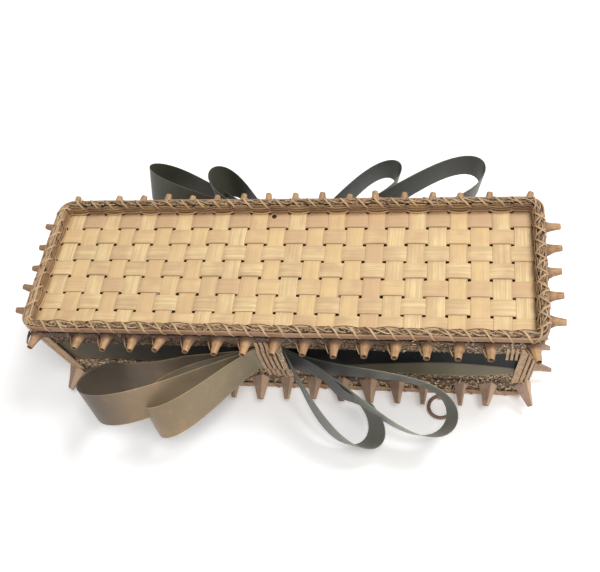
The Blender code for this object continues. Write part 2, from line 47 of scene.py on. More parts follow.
view_up = view_right.cross(view_forward)
lens = bpy.data.cameras.new("camera")
lens.lens = 48.74
lens.sensor_width = 36.0
lens.clip_start = 0.01
camera = bpy.data.objects.new("camera", lens)
view_turn = mathutils.Matrix((view_right, view_up, -view_forward)).transposed().to_4x4()
camera.matrix_world = mathutils.Matrix.Translation(view_place) @ view_turn
bpy.context.scene.collection.objects.link(camera)
bpy.context.scene.camera = camera
bpy.context.scene.view_settings.view_transform = "Standard"

# Floor: a plain sheet of nearly white paper, which glows a little so that the shadows on it stay soft.
floor_mesh = bpy.data.meshes.new("floor")
floor_mesh.from_pydata([(-4, -4, 0), (4, -4, 0), (4, 4, 0), (-4, 4, 0)], [], [(0, 1, 2, 3)])
floor = bpy.data.objects.new("floor", floor_mesh)
bpy.context.scene.collection.objects.link(floor)
floor_paint = bpy.data.materials.new("floor_paint")
floor_paint.use_nodes = True
floor_sockets = floor_paint.node_tree.nodes["Principled BSDF"].inputs
floor_sockets["Base Color"].default_value = (0.97, 0.97, 0.97, 1)
floor_sockets["Roughness"].default_value = 0.8
floor_sockets["Emission Color"].default_value = (1, 1, 1, 1)
floor_sockets["Emission Strength"].default_value = 0.2
floor_mesh.materials.append(floor_paint)

# Studio light: a pale room, a soft lamp high over the basket on the right, and one high in front, which
# reaches the lower half of the front wall but leaves the part under the rim in shade.
room = bpy.data.worlds.new("room")
room.use_nodes = True
room_sockets = room.node_tree.nodes["Background"].inputs
room_sockets["Color"].default_value = (1.0, 0.99, 0.97, 1)
room_sockets["Strength"].default_value = 0.40
bpy.context.scene.world = room
for name, place, watts in (("key_lamp", (0.65, 0.3, 1.35), 11.0), ("front_lamp", (0.42, -0.5, 1.4), 9.5)):
    lamp = bpy.data.lights.new(name, "AREA")
    lamp.size = 0.5
    lamp.energy = watts
    lamp_stand = bpy.data.objects.new(name, lamp)
    aim = (mathutils.Vector((0.0, 0.0, 0.04)) - mathutils.Vector(place)).to_track_quat("-Z", "Y")
    lamp_stand.matrix_world = mathutils.Matrix.Translation(place) @ aim.to_matrix().to_4x4()
    bpy.context.scene.collection.objects.link(lamp_stand)


# Lid panel: thirty-one brown-ash splints in plain weave, 24 crosswise and 7 lengthwise. Each was split
# along a year ring, scraped smooth and cut to one width, so its grain runs in fine streaks lengthwise.
# Here and below, lengths are in millimetres; a mesh is scaled to metres when it is made.
MM = 0.001
up = np.array([0.0, 0.0, 1.0])
panel_half = np.array([152.4, 44.1])
panel_mid = 76.15
cross_pitch, cross_width = 12.7, 10.8
long_pitch, long_width = 12.6, 11.0
splint_thick, weave_lift, end_trim = 0.5, 0.42, 1.4


def unit(vectors):
    """Each vector divided by its own length."""
    return vectors / np.maximum(np.linalg.norm(vectors, axis=-1, keepdims=True), 1e-12)


def flat_section(width, thick):
    """A splint's section: a flat strip whose two long edges are rounded off, as ten points.

    It runs once round: the lower face from left to right, the right edge, the upper face back.
    """
    across = np.array([-0.5, -0.46, -0.2, 0.2, 0.46, 0.5, 0.46, 0.2, -0.2, -0.46])
    through = np.array([0.0, -0.5, -0.5, -0.5, -0.5, 0.0, 0.5, 0.5, 0.5, 0.5])
    return np.stack([across * width, through * thick], axis=-1)


def carried(path, outward, section, looped=False):
    """A section carried along one path or several. Its first axis lies across the path, square to
    outward, and its second axis is square to both: place + across * first + through * second."""
    outward = np.broadcast_to(outward, path.shape)
    if path.ndim == 2:
        path, outward = path[None], outward[None]
    if looped:
        along = unit(np.roll(path, -1, axis=-2) - np.roll(path, 1, axis=-2))
    else:
        along = unit(np.gradient(path, axis=-2))
    across = unit(np.cross(outward, along))
    through = np.cross(along, across)
    rows = across[..., None, :] * section[..., :1] + through[..., None, :] * section[..., 1:]
    return path[..., None, :] + rows


def laid(rings, looped=False, tones=None):
    """Points, faces, grain map and tones of strands x stations x section points x 3.

    Quads join neighbouring stations and section points, and open ends get a cap. A strand whose
    signed volume, the sum of a . (b x c) over its faces, is negative has its faces turned. The grain
    map holds the length along the strand and round its section.
    """
    count, stations, sides = rings.shape[:3]
    index = np.arange(count * stations * sides).reshape(count, stations, sides)
    here, there = (index, np.roll(index, -1, axis=1)) if looped else (index[:, :-1], index[:, 1:])
    quads = np.stack([here, np.roll(here, -1, axis=2), np.roll(there, -1, axis=2), there], axis=-1)
    points = rings.reshape(-1, 3)
    middles, half_way = rings.mean(axis=2), rings[:, stations // 2]
    steps = np.linalg.norm(np.roll(middles, -1, axis=1) - middles, axis=-1)
    girth = np.linalg.norm(np.roll(half_way, -1, axis=1) - half_way, axis=-1)
    lengths, around = (np.pad(np.cumsum(part, axis=1), ((0, 0), (1, 0))) for part in (steps, girth))
    spans = quads.shape[1]
    grid = np.stack(np.broadcast_arrays(lengths[:, : spans + 1, None], around[:, None]), axis=-1)
    maps = np.stack([grid[:, :-1, :-1], grid[:, :-1, 1:], grid[:, 1:, 1:], grid[:, 1:, :-1]], axis=3)
    corners = points[quads] - middles[:, :1].reshape(count, 1, 1, 1, 3)
    a, b, c, d = (corners[..., number, :] for number in range(4))
    turned = np.einsum("csfi,csfi->c", a, np.cross(b, c) + np.cross(c, d)) < 0
    quads[turned], maps[turned] = quads[turned][..., ::-1], maps[turned][..., ::-1, :]
    faces, maps = quads.reshape(-1, 4).tolist(), maps.reshape(-1, 2)
    if not looped:
        first, last = index[:, 0, ::-1].copy(), index[:, -1].copy()
        first[turned], last[turned] = first[turned][:, ::-1], last[turned][:, ::-1]
        faces += first.tolist() + last.tolist()
        caps = np.zeros((2, count, sides, 2))
        caps[..., 1] = around[:, :-1]
        caps[1, ..., 0] = lengths[:, -2:-1]
        maps = np.concatenate([maps, caps.reshape(-1, 2)])
    return points, faces, maps, np.repeat(np.zeros(count) if tones is None else tones, stations * sides)


def made_of(name, *bundles, sharp=50.0):
    """One piece from bundles of strands, with its grain map and the attribute "tone", 0 to 1."""
    points, faces, maps, tones = zip(*bundles)
    starts = np.cumsum([0] + [len(part) for part in points]).tolist()
    joined = [[start + corner for corner in face] for start, part in zip(starts, faces) for face in part]
    mesh = bpy.data.meshes.new(name)
    mesh.from_pydata((np.concatenate(points) * MM).tolist(), [], joined)
    mesh.uv_layers.new(name="grain").data.foreach_set("uv", np.concatenate(maps).ravel())
    mesh.attributes.new("tone", "FLOAT", "POINT").data.foreach_set("value", np.concatenate(tones))
    mesh.shade_smooth()
    mesh.set_sharp_from_angle(angle=math.radians(sharp))
    piece = bpy.data.objects.new(name, mesh)
    bpy.context.scene.collection.objects.link(piece)
    return piece


def dress(piece, body, slot, finish, *nodes):
    """Fixes a piece to the body that carries it, in place of the plain solids named."""
    piece.data.materials.append(finish)
    if nodes:
        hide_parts(*nodes)
    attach(piece, body)
    return piece


class Wire:
    """One value, colour or vector inside a finish. Sums and products of values add Math nodes."""

    def __init__(self, tree, socket=None):
        self.tree = tree
        self.socket = socket

    def node(self, kind, settings=(), inputs=(), output=0, stops=()):
        """Adds a node: its settings and ramp stops first, then the values and wires of its sockets."""
        made = self.tree.nodes.new(kind)
        for name, value in dict(settings).items():
            setattr(made, name, value)
        for number, (place, colour) in enumerate(stops):
            marks = made.color_ramp.elements
            mark = marks[number] if number < 2 else marks.new(place)
            mark.position = place
            mark.color = (*colour, 1)
        for name, value in dict(inputs).items():
            if isinstance(value, Wire):
                self.tree.links.new(value.socket, made.inputs[name])
            else:
                made.inputs[name].default_value = value
        return Wire(self.tree, made.outputs[output])

    def maths(self, operation, *values):
        """One Math node on these values."""
        return self.node("ShaderNodeMath", {"operation": operation}, dict(enumerate(values)))

    def __add__(self, other):
        return self.maths("ADD", self, other)

    def __sub__(self, other):
        return self.maths("SUBTRACT", self, other)

    def __rsub__(self, other):
        return self.maths("SUBTRACT", other, self)

    def __mul__(self, other):
        return self.maths("MULTIPLY", self, other)

    __radd__, __rmul__ = __add__, __mul__

    def step(self, low, high):
        """Smoothly 0 below low and 1 above high; with low above high it falls instead."""
        spread = {"interpolation_type": "SMOOTHSTEP"}
        return self.node("ShaderNodeMapRange", spread, {0: self, 1: low, 2: high, 3: 0.0, 4: 1.0})

    def parts(self):
        """The three parts of a vector."""
        split = self.node("ShaderNodeSeparateXYZ", (), {0: self})
        return [Wire(self.tree, output) for output in split.socket.node.outputs]


def blended(factor, first, second, kind="MIX"):
    """A colour between two colours, or their product where kind says so."""
    first, second = ((*side, 1) if isinstance(side, tuple) else side for side in (first, second))
    mixing = {"data_type": "RGBA", "blend_type": kind}
    return factor.node("ShaderNodeMix", mixing, {0: factor, 6: first, 7: second}, output=2)


def speckle(along, across, depth, detail=3.0, roughness=0.6):
    """Cloudy noise between 0 and 1 at a place given in noise cells."""
    place = along.node("ShaderNodeCombineXYZ", (), {0: along, 1: across, 2: depth})
    clouds = {"Vector": place, "Scale": 1.0, "Detail": detail, "Roughness": roughness}
    return place.node("ShaderNodeTexNoise", (), clouds)


def started(name):
    """A new finish with its places on the piece: millimetres along and across, and the strand's tone."""
    made = bpy.data.materials.new(name)
    made.use_nodes = True
    wire = Wire(made.node_tree)
    along, across, _ = wire.node("ShaderNodeUVMap", {"uv_map": "grain"}).parts()
    tone = wire.node("ShaderNodeAttribute", {"attribute_name": "tone"}, output="Fac")
    return made, along, across, tone


def completed(made, colour, roughness, height, depth, **fixed):
    """Joins colour, roughness and relief to the finish's shader. Depth is the relief in millimetres."""
    shader = made.node_tree.nodes["Principled BSDF"]
    relief = height.node("ShaderNodeBump", (), {"Strength": 1.0, "Distance": depth * MM, "Height": height})
    for name, wire in (("Base Color", colour), ("Roughness", roughness), ("Normal", relief)):
        made.node_tree.links.new(wire.socket, shader.inputs[name])
    for name, value in fixed.items():
        shader.inputs[name.replace("_", " ")].default_value = value
    return made


def darker(colour, share):
    """The colour with only that share of its light left."""
    return tuple(part * share for part in colour)


def ash_finish(name, pale, golden, pink, streaks=0.55, shine=0.5, girth=0.0, edge=0.0, rosy=0.45):
    """Scraped ash: a pale or a golden splint by its own tone, with slow rosy stains, broad year-ring
    streaks, fine streaks and pores along it, strongest on the pale splints, and a brown line of painted
    shade along its near edge, where the splint steps over the next one."""
    made, along, across, tone = started(name)
    own, plain = tone * 61.0, tone.step(0.25, 0.6)
    rings = speckle(along * 0.012 + own, across * 0.55, own, 2.0).step(0.38, 0.66)
    fine = speckle(along * 0.035 + own, across * 1.9, own + 3.0, 3.0, 0.7).step(0.48, 0.68)
    pores = speckle(along * 0.11, across * 4.6, own, 2.0)
    stain = speckle(along * 0.045 + own, across * 0.05, own + 9.0, 2.0).step(0.35, 0.65)
    colour = blended(plain, pale, golden)
    colour = blended(tone.step(0.8, 0.95) * 0.8, colour, pink)
    colour = blended(stain * rosy, colour, pink)
    strong = (1.0 - plain * 0.6) * streaks
    colour = blended(rings * strong * 0.5, colour, darker(golden, 0.6))
    colour = blended(fine * strong, colour, darker(golden, 0.74))
    colour = blended(pores.step(0.55, 0.78) * 0.25, colour, darker(golden, 0.5))
    # Painted shade: the near edge is darkened to a thin brown line, standing for the shadow at the step
    # where one splint crosses over another.
    if girth:
        from_edge = across.maths("MINIMUM", across, girth - across)
        colour = blended(from_edge.step(0.60, 0.42) * edge, colour, (0.28, 0.15, 0.07))
    relief = rings * 0.3 + fine * 0.5 + pores
    return completed(made, colour, pores * 0.25 + shine, relief, 0.10, Specular_IOR_Level=0.35)


def woven_splint(name, crossings, pitch, half, first, aside, width, lengthwise, seed, tone):
    """One splint of the panel, slightly wandering and uneven in width. With c = cos(pi place / pitch), one
    half wave for each crossing, its height is first times the lift times tanh(3.4 c) / tanh(3.4)."""
    rng = np.random.default_rng(seed)
    run = np.linspace(-half, half, crossings * 12 + 1)
    wave = np.cos(np.pi * (run + (crossings - 1) / 2 * pitch) / pitch)
    path = np.zeros((len(run), 3))
    path[:, 0 if lengthwise else 1] = run
    wander = 0.12 * np.sin(run * rng.uniform(0.03, 0.06) + rng.uniform(0, 6))
    path[:, 1 if lengthwise else 0] = aside + wander
    path[:, 2] = panel_mid + first * weave_lift * np.tanh(3.4 * wave) / np.tanh(3.4)
    uneven = 1 + 0.02 * np.sin(run * 0.11 + rng.uniform(0, 6))
    section = flat_section(width, splint_thick) * np.stack([uneven, np.ones_like(run)], axis=-1)[:, None]
    tones = [rng.uniform(0, 1) if tone is None else tone]
    return made_of(name, laid(carried(path, up, section), tones=tones))


# Their edge shares set how dark the painted shade line along each splint's near edge is.
panel_finish = ash_finish(
    "crosswise_ash", (0.83, 0.63, 0.345), (0.76, 0.54, 0.27), (0.63, 0.41, 0.235),
    0.75, girth=21.8, edge=0.3, rosy=0.6,
)
long_finish = ash_finish(
    "lengthwise_ash", (0.80, 0.595, 0.325), (0.73, 0.51, 0.265), (0.59, 0.385, 0.225),
    0.75, girth=22.2, edge=0.6, rosy=0.7,
)
long_tones = (1.0, 0.55, 0.30, 0.05, 0.5, 0.2, 0.4)
for column in range(24):
    number = f"{column + 1:02d}"
    half = panel_half[1] - (end_trim if column in (0, 23) else 0.0)
    splint = woven_splint(
        "cross_splint_" + number, 7, long_pitch, half, 1 - 2 * (column % 2),
        (column - 11.5) * cross_pitch, cross_width, False, 100 + column, None,
    )
    dress(splint, "lid", "lid_splints", panel_finish, "lid_cross_splint_" + number)
for row in range(7):
    half = panel_half[0] - (end_trim if row in (0, 6) else 0.0)
    splint = woven_splint(
        f"long_splint_{row + 1}", 24, cross_pitch, half, 2 * (row % 2) - 1,
        (3 - row) * long_pitch, long_width, True, 200 + row, long_tones[row],
    )
    dress(splint, "lid", "lid_splints", long_finish, f"lid_long_splint_{row + 1}")


# Hole: a small round hole in the farthest lengthwise splint, dark inside, as a fallen knot leaves it.
# It is made as a thin plug painted near black as the hole's shade, which ends just above the splint's face.
hole_place, hole_radius, hole_heights = (-9.5, 41.0), 1.6, (76.0, 76.88)


def full_turn(count):
    """Angles spaced evenly once round."""
    return np.arange(count) * 2 * np.pi / count


hole_turn = full_turn(16)
hole_edge = np.stack([np.cos(hole_turn), np.sin(hole_turn)], axis=-1) * hole_radius + hole_place
hole_rings = np.stack([np.column_stack([hole_edge, np.full(16, z)]) for z in hole_heights])
hole_finish = ash_finish("hole_shade", (0.03, 0.015, 0.01), (0.02, 0.01, 0.008), (0.02, 0.01, 0.008))
dress(made_of("small_hole", laid(hole_rings[None])), "lid", "lid_splints", hole_finish)


# Turned-up ends: past its last crossing each splint is bent up at a right angle and runs up inside
# the rim, where the lashing holds it. They are the panel's own splints, coloured a darker brown here.
def turned_up_ends(half_out, places, out):
    """Ends along one side. Each runs through points of (way out, height): flat for a millimetre, up
    round the bend and on to the rim."""
    profile = np.array([
        (-1.2, 76.1), (-0.3, 76.15), (0.25, 76.4), (0.55, 76.9),
        (0.65, 77.8), (0.62, 80.0), (0.7, 82.0), (0.65, 83.7),
    ])
    out, beside = np.array([*out, 0.0]), np.array([abs(out[1]), abs(out[0]), 0.0])
    root = beside * places[:, None] + out * half_out
    path = root[:, None] + out * profile[:, :1] + up * profile[:, 1:]
    return carried(path, unit(up - out), flat_section(10.2, 0.6))


cross_places = (np.arange(24) - 11.5) * cross_pitch
long_places = (np.arange(7) - 3) * long_pitch
ends = []
for seed, (places, out) in enumerate(
    ((cross_places, (0, -1)), (cross_places, (0, 1)), (long_places, (-1, 0)), (long_places, (1, 0)))
):
    tones = np.random.default_rng(seed).uniform(0, 1, len(places))
    ends.append(laid(turned_up_ends(panel_half[1 if out[1] else 0], places, out), tones=tones))
ends_finish = ash_finish("turned_ash", (0.60, 0.40, 0.20), (0.42, 0.25, 0.11), (0.40, 0.25, 0.14))
dress(made_of("turned_up_ends", *ends), "lid", "lid_splints", ends_finish, "lid_upturned_ends")


# Inner weavers: narrow brown splints woven round the turned-up ends to lock them, each passing in front
# of one end and behind the next. A first one, wider and pale, lies on the panel's edge.
wall_top, wall_inset = 78.7, 5.9
corner_radius, round_radius = 4.0, 5.1
straight, quarter = 2 * (panel_half - corner_radius), math.pi / 2 * round_radius
round_knots = np.cumsum([0.0] + 2 * [straight[0], quarter, straight[1], quarter])
round_length = round_knots[-1]
first_end, end_count = 2.35, 62


def lean(z):
    """How far the wall stands inside its top outline: inset times (1 - z / top), never above zero."""
    return -wall_inset * np.maximum(0.0, 1 - z / wall_top)


def round_the_basket(s, offset, z, inset=0.0):
    """Places and outward directions on a rounded rectangle that lies offset outside the panel.

    s is the length run along it from the front's left end, to the right first. Between the corners'
    centres the place moves straight, and round a centre it turns: centre + radius (cos, sin).
    """
    s, offset, z, inset = np.broadcast_arrays(np.mod(s, round_length), offset, z, inset)
    turn = np.interp(s, round_knots, np.radians([-90, -90, 0, 0, 90, 90, 180, 180, 270]))
    centre, radius = panel_half - corner_radius, corner_radius + offset
    east = np.interp(s, round_knots, [-1, 1, 1, 1, 1, -1, -1, -1, -1])
    north = np.interp(s, round_knots, [-1, -1, -1, 1, 1, 1, 1, -1, -1])
    x = east * (centre[0] + inset) + radius * np.cos(turn)
    y = north * (centre[1] + inset) + radius * np.sin(turn)
    out = np.stack([np.cos(turn), np.sin(turn), np.zeros_like(turn)], axis=-1)
    return np.stack([x, y, z], axis=-1), out


def oval_section(width, thick, sides=6):
    """A strand's section: an oval, width times cos and thick times sin, halved."""
    turn = full_turn(sides)
    return np.stack([np.cos(turn) * width / 2, np.sin(turn) * thick / 2], axis=-1)


def inner_weaver(z, width, swing, seed):
    """One weaver: its offset is swing times a cosine with one half wave for each turned-up end."""
    rng = np.random.default_rng(seed)
    s = np.linspace(0, round_length, end_count * 8, endpoint=False)
    offset = swing * np.cos(np.pi * (s - first_end) / (round_length / end_count))
    wobble = 0.18 * np.sin(s * 0.23 + rng.uniform(0, 6)) * np.sin(s * 0.071)
    path, out = round_the_basket(s, offset, z + wobble)
    return carried(path, out, oval_section(width, 0.5), looped=True)


brown_weavers = []
for number in range(5):
    rings = inner_weaver(78.75 + 1.15 * number, 0.95, 0.85 * (-1) ** number, number)
    brown_weavers.append(laid(rings, True, [number * 0.4 % 1]))
weaver_finish = ash_finish(
    "weaver_brown_ash", (0.56, 0.38, 0.23), (0.34, 0.21, 0.13), (0.24, 0.14, 0.10), 0.8
)
dress(made_of("inner_weavers", *brown_weavers), "lid", "brown_ash", weaver_finish, "lid_inner_weaver")
first_weaver = laid(inner_weaver(77.6, 1.5, -1.36, 7), True, [0.9])
dress(made_of("first_weaver", first_weaver), "lid", "lid_splints", panel_finish)


# Rim braid: sweetgrass plaited in three strands and laid all round the top edge in three plaits, one
# under another, so that the rim looks like dark tangled grass.
def plait(s, place, swing, dip, wave, strand, start, uneven, leaning=True):
    """A plait of three strands round the place (offset, height). Strand k has phase 2 pi s / wave +
    2 pi k / 3, and swings along swing (outward, upward) by the phase's sine and square to that by dip
    times the sine of twice the phase."""
    phase = 2 * np.pi * s / wave + np.arange(3)[:, None] * 2 * np.pi / 3 + start
    loose = 1 + uneven * np.sin(s * 0.37 + start)
    size = math.hypot(*swing)
    swung, depth = np.sin(phase) * loose, dip * np.sin(2 * phase)
    offset = place[0] + swing[0] * swung + swing[1] / size * depth
    z = place[1] + swing[1] * swung - swing[0] / size * depth
    path, out = round_the_basket(s, offset, z, lean(z) if leaning else 0.0)
    broad = unit(out * swing[1] / size - up * swing[0] / size)
    return carried(path, broad, oval_section(*strand), looped=True)


def grass_finish(name, dark, brown, straw):
    """Braided sweetgrass: several blades side by side along each strand, each its own brown or straw
    colour, with painted shade in lines between the blades."""
    made, along, across, tone = started(name)
    own = tone * 47.0
    blades = speckle(along * 0.10 + own, across * 1.5, own, 2.0, 0.7)
    mottle = speckle(along * 0.45, across * 0.6 + own, own + 5.0, 2.0)
    lines = speckle(along * 0.08, across * 3.6, own + 2.0, 1.0)
    colour = blended(blades.step(0.35, 0.55), dark, brown)
    colour = blended(blades.step(0.46, 0.58) * mottle.step(0.36, 0.52), colour, straw)
    # Painted shade: near-black lines for the gaps between the blades.
    colour = blended(lines.step(0.52, 0.64) * 0.75, colour, darker(dark, 0.35))
    return completed(made, colour, blades * 0.2 + 0.55, lines + blades, 0.22, Specular_IOR_Level=0.3)


rim_s = np.linspace(0, round_length, 1040, endpoint=False)
rim_plaits = []
for place, swing, dip, strand, start, uneven, tones in (
    ((2.9, 84.15), (1.15, 0.0), 0.35, (1.5, 0.9), 0.0, 0.25, (0.1, 0.45, 0.8)),
    ((3.0, 81.9), (0.9, 0.9), 0.30, (1.7, 1.1), 1.3, 0.20, (0.3, 0.6, 0.95)),
    ((3.0, 80.1), (1.2, 0.0), 0.40, (1.6, 1.1), 2.0, 0.20, (0.2, 0.5, 0.7)),
):
    rings = plait(rim_s, place, swing, dip, round_length / 104, strand, start, uneven, leaning=False)
    rim_plaits.append(laid(rings, True, tones))
rim_grass = grass_finish("rim_sweetgrass", (0.024, 0.013, 0.008), (0.14, 0.08, 0.042), (0.54, 0.37, 0.205))
dress(made_of("rim_braid", *rim_plaits), "lid", "sweetgrass", rim_grass, "lid_rim_braid")


# Straw twist: two strands of paler, straw-coloured sweetgrass that cross each other 92 times round the
# top of the rim, over the dark braid, and are held by the lashing.
twist_phase = 92 * np.pi * rim_s / round_length + np.array([[0.0], [np.pi]])
twist_path, _ = round_the_basket(rim_s, 2.9 + 1.3 * np.sin(twist_phase), 84.7 + 0.35 * np.cos(twist_phase))
twist = laid(carried(twist_path, up, oval_section(1.0, 0.7), looped=True), True, (0.3, 0.7))
straw_grass = grass_finish("straw_sweetgrass", (0.20, 0.115, 0.065), (0.44, 0.29, 0.165), (0.70, 0.51, 0.31))
dress(made_of("rim_straw_twist", twist), "lid", "sweetgrass", straw_grass)


# Rim rods: three thin round rods of pale ash, side by side on top of the rim at its left end, under the
# lashing. They end just round the two corners.
rod_s = np.linspace(round_knots[5] + 0.3 * quarter, round_knots[8] - 0.2 * quarter, 70)
rod_offset = np.array([[1.0], [2.2], [3.4]]) + 0.3 * np.sin(rod_s / 9 + np.array([[0.0], [2.1], [4.2]]))
rod_path, _ = round_the_basket(rod_s, rod_offset, 84.65 + 0.15 * np.cos(rod_s / 6))
rods = laid(carried(rod_path, up, oval_section(1.1, 0.8)), tones=(0.2, 0.7, 0.4))
rod_finish = ash_finish("rim_rod_ash", (0.66, 0.45, 0.26), (0.54, 0.35, 0.20), (0.40, 0.25, 0.15), 0.9)
dress(made_of("rim_left_rods", rods), "lid", "brown_ash", rod_finish)


# Loose blades: short ends of sweetgrass that stand off the top of the rim braid as small bows. Each
# starts in one of two zones of (lowest, highest, offset), runs from t = 0 to 1 along and up, and goes
# out by its reach times sin(pi t).
blade_count, blade_rng, t = 900, np.random.default_rng(31), np.linspace(0, 1, 5)
each = (blade_count, 1)
blade_zones = np.array([[84.4, 84.9, 2.2], [84.3, 84.8, 3.6]])
low, high, offset = blade_zones[blade_rng.integers(0, 2, blade_count)].T[..., None]
blade_s = blade_rng.uniform(0, round_length, each) + blade_rng.normal(0, 3.2, each) * t
rise = blade_rng.normal(0, 1.7, each) * t
blade_z = blade_rng.uniform(low, high) + rise + blade_rng.normal(0, 0.5, each) * np.sin(2 * np.pi * t)
reach = blade_rng.uniform(0.5, 2.5, each) * 0.3
path, out = round_the_basket(blade_s, offset + reach * np.sin(np.pi * t), np.clip(blade_z, low, high))
blade = oval_section(1.0, 0.7, 3) * blade_rng.uniform(0.16, 0.30, (blade_count, 1, 1, 1))
blades = laid(carried(path, out, blade), tones=blade_rng.uniform(0, 1, blade_count))
dress(made_of("rim_braid_loose_blades", blades), "lid", "sweetgrass", rim_grass)


# Rim hoop: one long flat splint of brown ash bent round the outside of the rim. It was shaved smooth,
# and it lies a little uneven between the turns of the lashing that holds it.
def hoop(offset, z, height, thick, seed, leaning=True):
    """A flat strip round the basket, which wanders by two slow sines in and out and up and down."""
    rng = np.random.default_rng(seed)
    s = np.linspace(0, round_length, 640, endpoint=False)
    turns = 2 * np.pi * s / round_length
    wander = 0.12 * (np.sin(7 * turns + rng.uniform(0, 6)) + np.sin(17 * turns + rng.uniform(0, 6)))
    lift = 0.12 * (np.sin(5 * turns + rng.uniform(0, 6)) + np.sin(13 * turns + rng.uniform(0, 6)))
    path, out = round_the_basket(s, offset + wander, z + lift, lean(z + lift) if leaning else 0.0)
    square = unit(out - up * wall_inset / wall_top) if leaning else out
    return carried(path, square, flat_section(height, thick), looped=True)


hoop_finish = ash_finish(
    "hoop_brown_ash", (0.56, 0.345, 0.20), (0.40, 0.23, 0.135), (0.27, 0.15, 0.10), 0.9, 0.42
)
rim_hoop = laid(hoop(5.3, 82.3, 4.0, 1.0, 5, leaning=False), True, [0.5])
dress(made_of("rim_hoop", rim_hoop), "lid", "brown_ash", hoop_finish, "lid_rim_hoop")


# Rim lashing: a thin narrow strip of pale ash wound round the whole rim in a slanting spiral, which
# ties the hoop, the braid and the turned-up ends together. On the right end it is wound back as well.
def lashing(turns, start, length, knots, width, thick, tone):
    """A strip wound turns times over a length. One turn runs through knots of (share of the turn,
    offset, height, share of the pitch run so far), joined by straight lines of 18 stations in all."""
    shares, *tracks = np.array(knots).T
    phase = np.arange(turns * 18 + 1) / 18
    offset, z, drift = (np.interp(phase % 1.0, shares, track) for track in tracks)
    s = start + (np.floor(phase) + drift) * length / turns
    path, _ = round_the_basket(s, offset, z, lean(z))
    core_offset, core_z = tracks[0].mean(), tracks[1].mean()
    core, _ = round_the_basket(s, core_offset, core_z, lean(core_z))
    return laid(carried(path, unit(path - core), flat_section(width, thick)), tones=[tone])


rim_turn = (
    (0.0, 5.6, 79.9, 0.0), (0.12, 0.6, 80.1, 0.05), (0.20, 0.0, 80.6, 0.10), (0.34, -0.5, 83.6, 0.26),
    (0.42, 0.5, 84.8, 0.36), (0.52, 2.1, 85.4, 0.55), (0.62, 4.4, 85.3, 0.72), (0.70, 6.0, 84.4, 0.82),
    (0.78, 6.15, 82.8, 0.88), (0.92, 6.1, 80.6, 0.96), (1.0, 5.6, 79.9, 1.0),
)
right_turn = [(share, offset + 0.15, z + 0.12, drift) for share, offset, z, drift in rim_turn]
right_start, right_length = round_knots[4] - quarter, -straight[1] - quarter
rim_lashes = [
    lashing(74, 0.0, round_length, rim_turn, 1.2, 0.3, 0.3),
    lashing(9, right_start, right_length, right_turn, 1.2, 0.3, 0.8),
]
lash_finish = ash_finish("lashing_pale_ash", (0.64, 0.44, 0.25), (0.52, 0.34, 0.19), (0.40, 0.25, 0.14), 0.7)
dress(made_of("rim_lashing", *rim_lashes), "lid", "lid_splints", lash_finish)


# Wall: upright ash splints side by side, leaning out from the floor to the rim, with flat weavers
# between them on the inside. From outside the grass, the ribbon and the posts cover nearly all of it.
upright_count, wall_offset = 130, 2.35
upright_s = (np.arange(upright_count) + 0.5) * round_length / upright_count
upright_z = np.linspace(0.35, 78.6, 7)
upright_path, upright_out = round_the_basket(upright_s[:, None], wall_offset, upright_z, lean(upright_z))
upright_rings = carried(upright_path, upright_out, flat_section(5.2, 0.6))
weaver_s = np.linspace(0, round_length, upright_count * 4, endpoint=False)
weaver_rows = []
for number, z in enumerate(np.linspace(3.0, 76.0, 15)):
    over = np.cos(np.pi * weaver_s / round_length * upright_count) * (1 if number % 2 else -1)
    path, out = round_the_basket(weaver_s, wall_offset + 0.35 * over, z, lean(z))
    weaver_rows.append(laid(carried(path, out, flat_section(4.3, 0.4), True), True, [number / 15]))
uprights = laid(upright_rings, tones=np.random.default_rng(3).uniform(0, 1, upright_count))
wall_finish = ash_finish("wall_ash", (0.66, 0.46, 0.25), (0.50, 0.32, 0.15), (0.45, 0.30, 0.17))
wall = made_of("wall_splints", uprights, *weaver_rows)
dress(wall, "basket", "wall_ash", wall_finish, "basket_wall")


# Bottom: a plain weave of ash splints that closes the basket. It lies flat on the table, and its ends
# turn up into the wall.
def floor_splints(count, crossings, half, reach, lengthwise):
    """All splints of one direction, each a low wave 0.3 tanh(2 sin(pi place / pitch)) that changes its
    sign from one splint to the next."""
    run = np.linspace(-reach, reach, crossings * 6 + 1)
    pitch, own_pitch = 2 * reach / crossings, 2 * half / count
    aside = (np.arange(count) - (count - 1) / 2) * own_pitch
    first = np.where(np.arange(count) % 2 == 0, 1.0, -1.0) * (1 if lengthwise else -1)
    wave = np.tanh(2 * np.cos(np.pi * ((run + reach) / pitch - 0.5)))
    path = np.zeros((count, len(run), 3))
    path[..., 0 if lengthwise else 1] = run
    path[..., 1 if lengthwise else 0] = aside[:, None]
    path[..., 2] = 0.85 + 0.3 * first[:, None] * wave
    tones = np.random.default_rng(count).uniform(0, 1, count)
    return laid(carried(path, up, flat_section(own_pitch * 0.86, 0.5)), tones=tones)


half_long, half_wide = panel_half - 4.9
crosswise = floor_splints(24, 7, half_long, half_wide, False)
lengthwise = floor_splints(7, 24, half_wide, half_long, True)
dress(made_of("bottom_weave", crosswise, lengthwise), "basket", "wall_ash", wall_finish, "basket_floor")


# Grass rows: braided sweetgrass worked round the wall, four rows above the ribbon and six below it.
# The plaits are brown and springy, and short curls stand off them everywhere.
def grass_rows(low, high, count, seed):
    """Rows of plaits with ninety waves each, one above another, between two heights."""
    height, waves = (high - low) / count, 90
    s = np.linspace(0, round_length, waves * 10, endpoint=False)
    rows = []
    for number in range(count):
        place, swing = (4.0, low + (number + 0.5) * height), (0.0, 0.29 * height)
        strand, start = (0.46 * height, 0.95), seed + number * 1.7
        rings = plait(s, place, swing, 0.3, round_length / waves, strand, start, 0.15)
        rows.append(laid(rings, True, np.random.default_rng(seed + number).uniform(0, 1, 3)))
    return rows


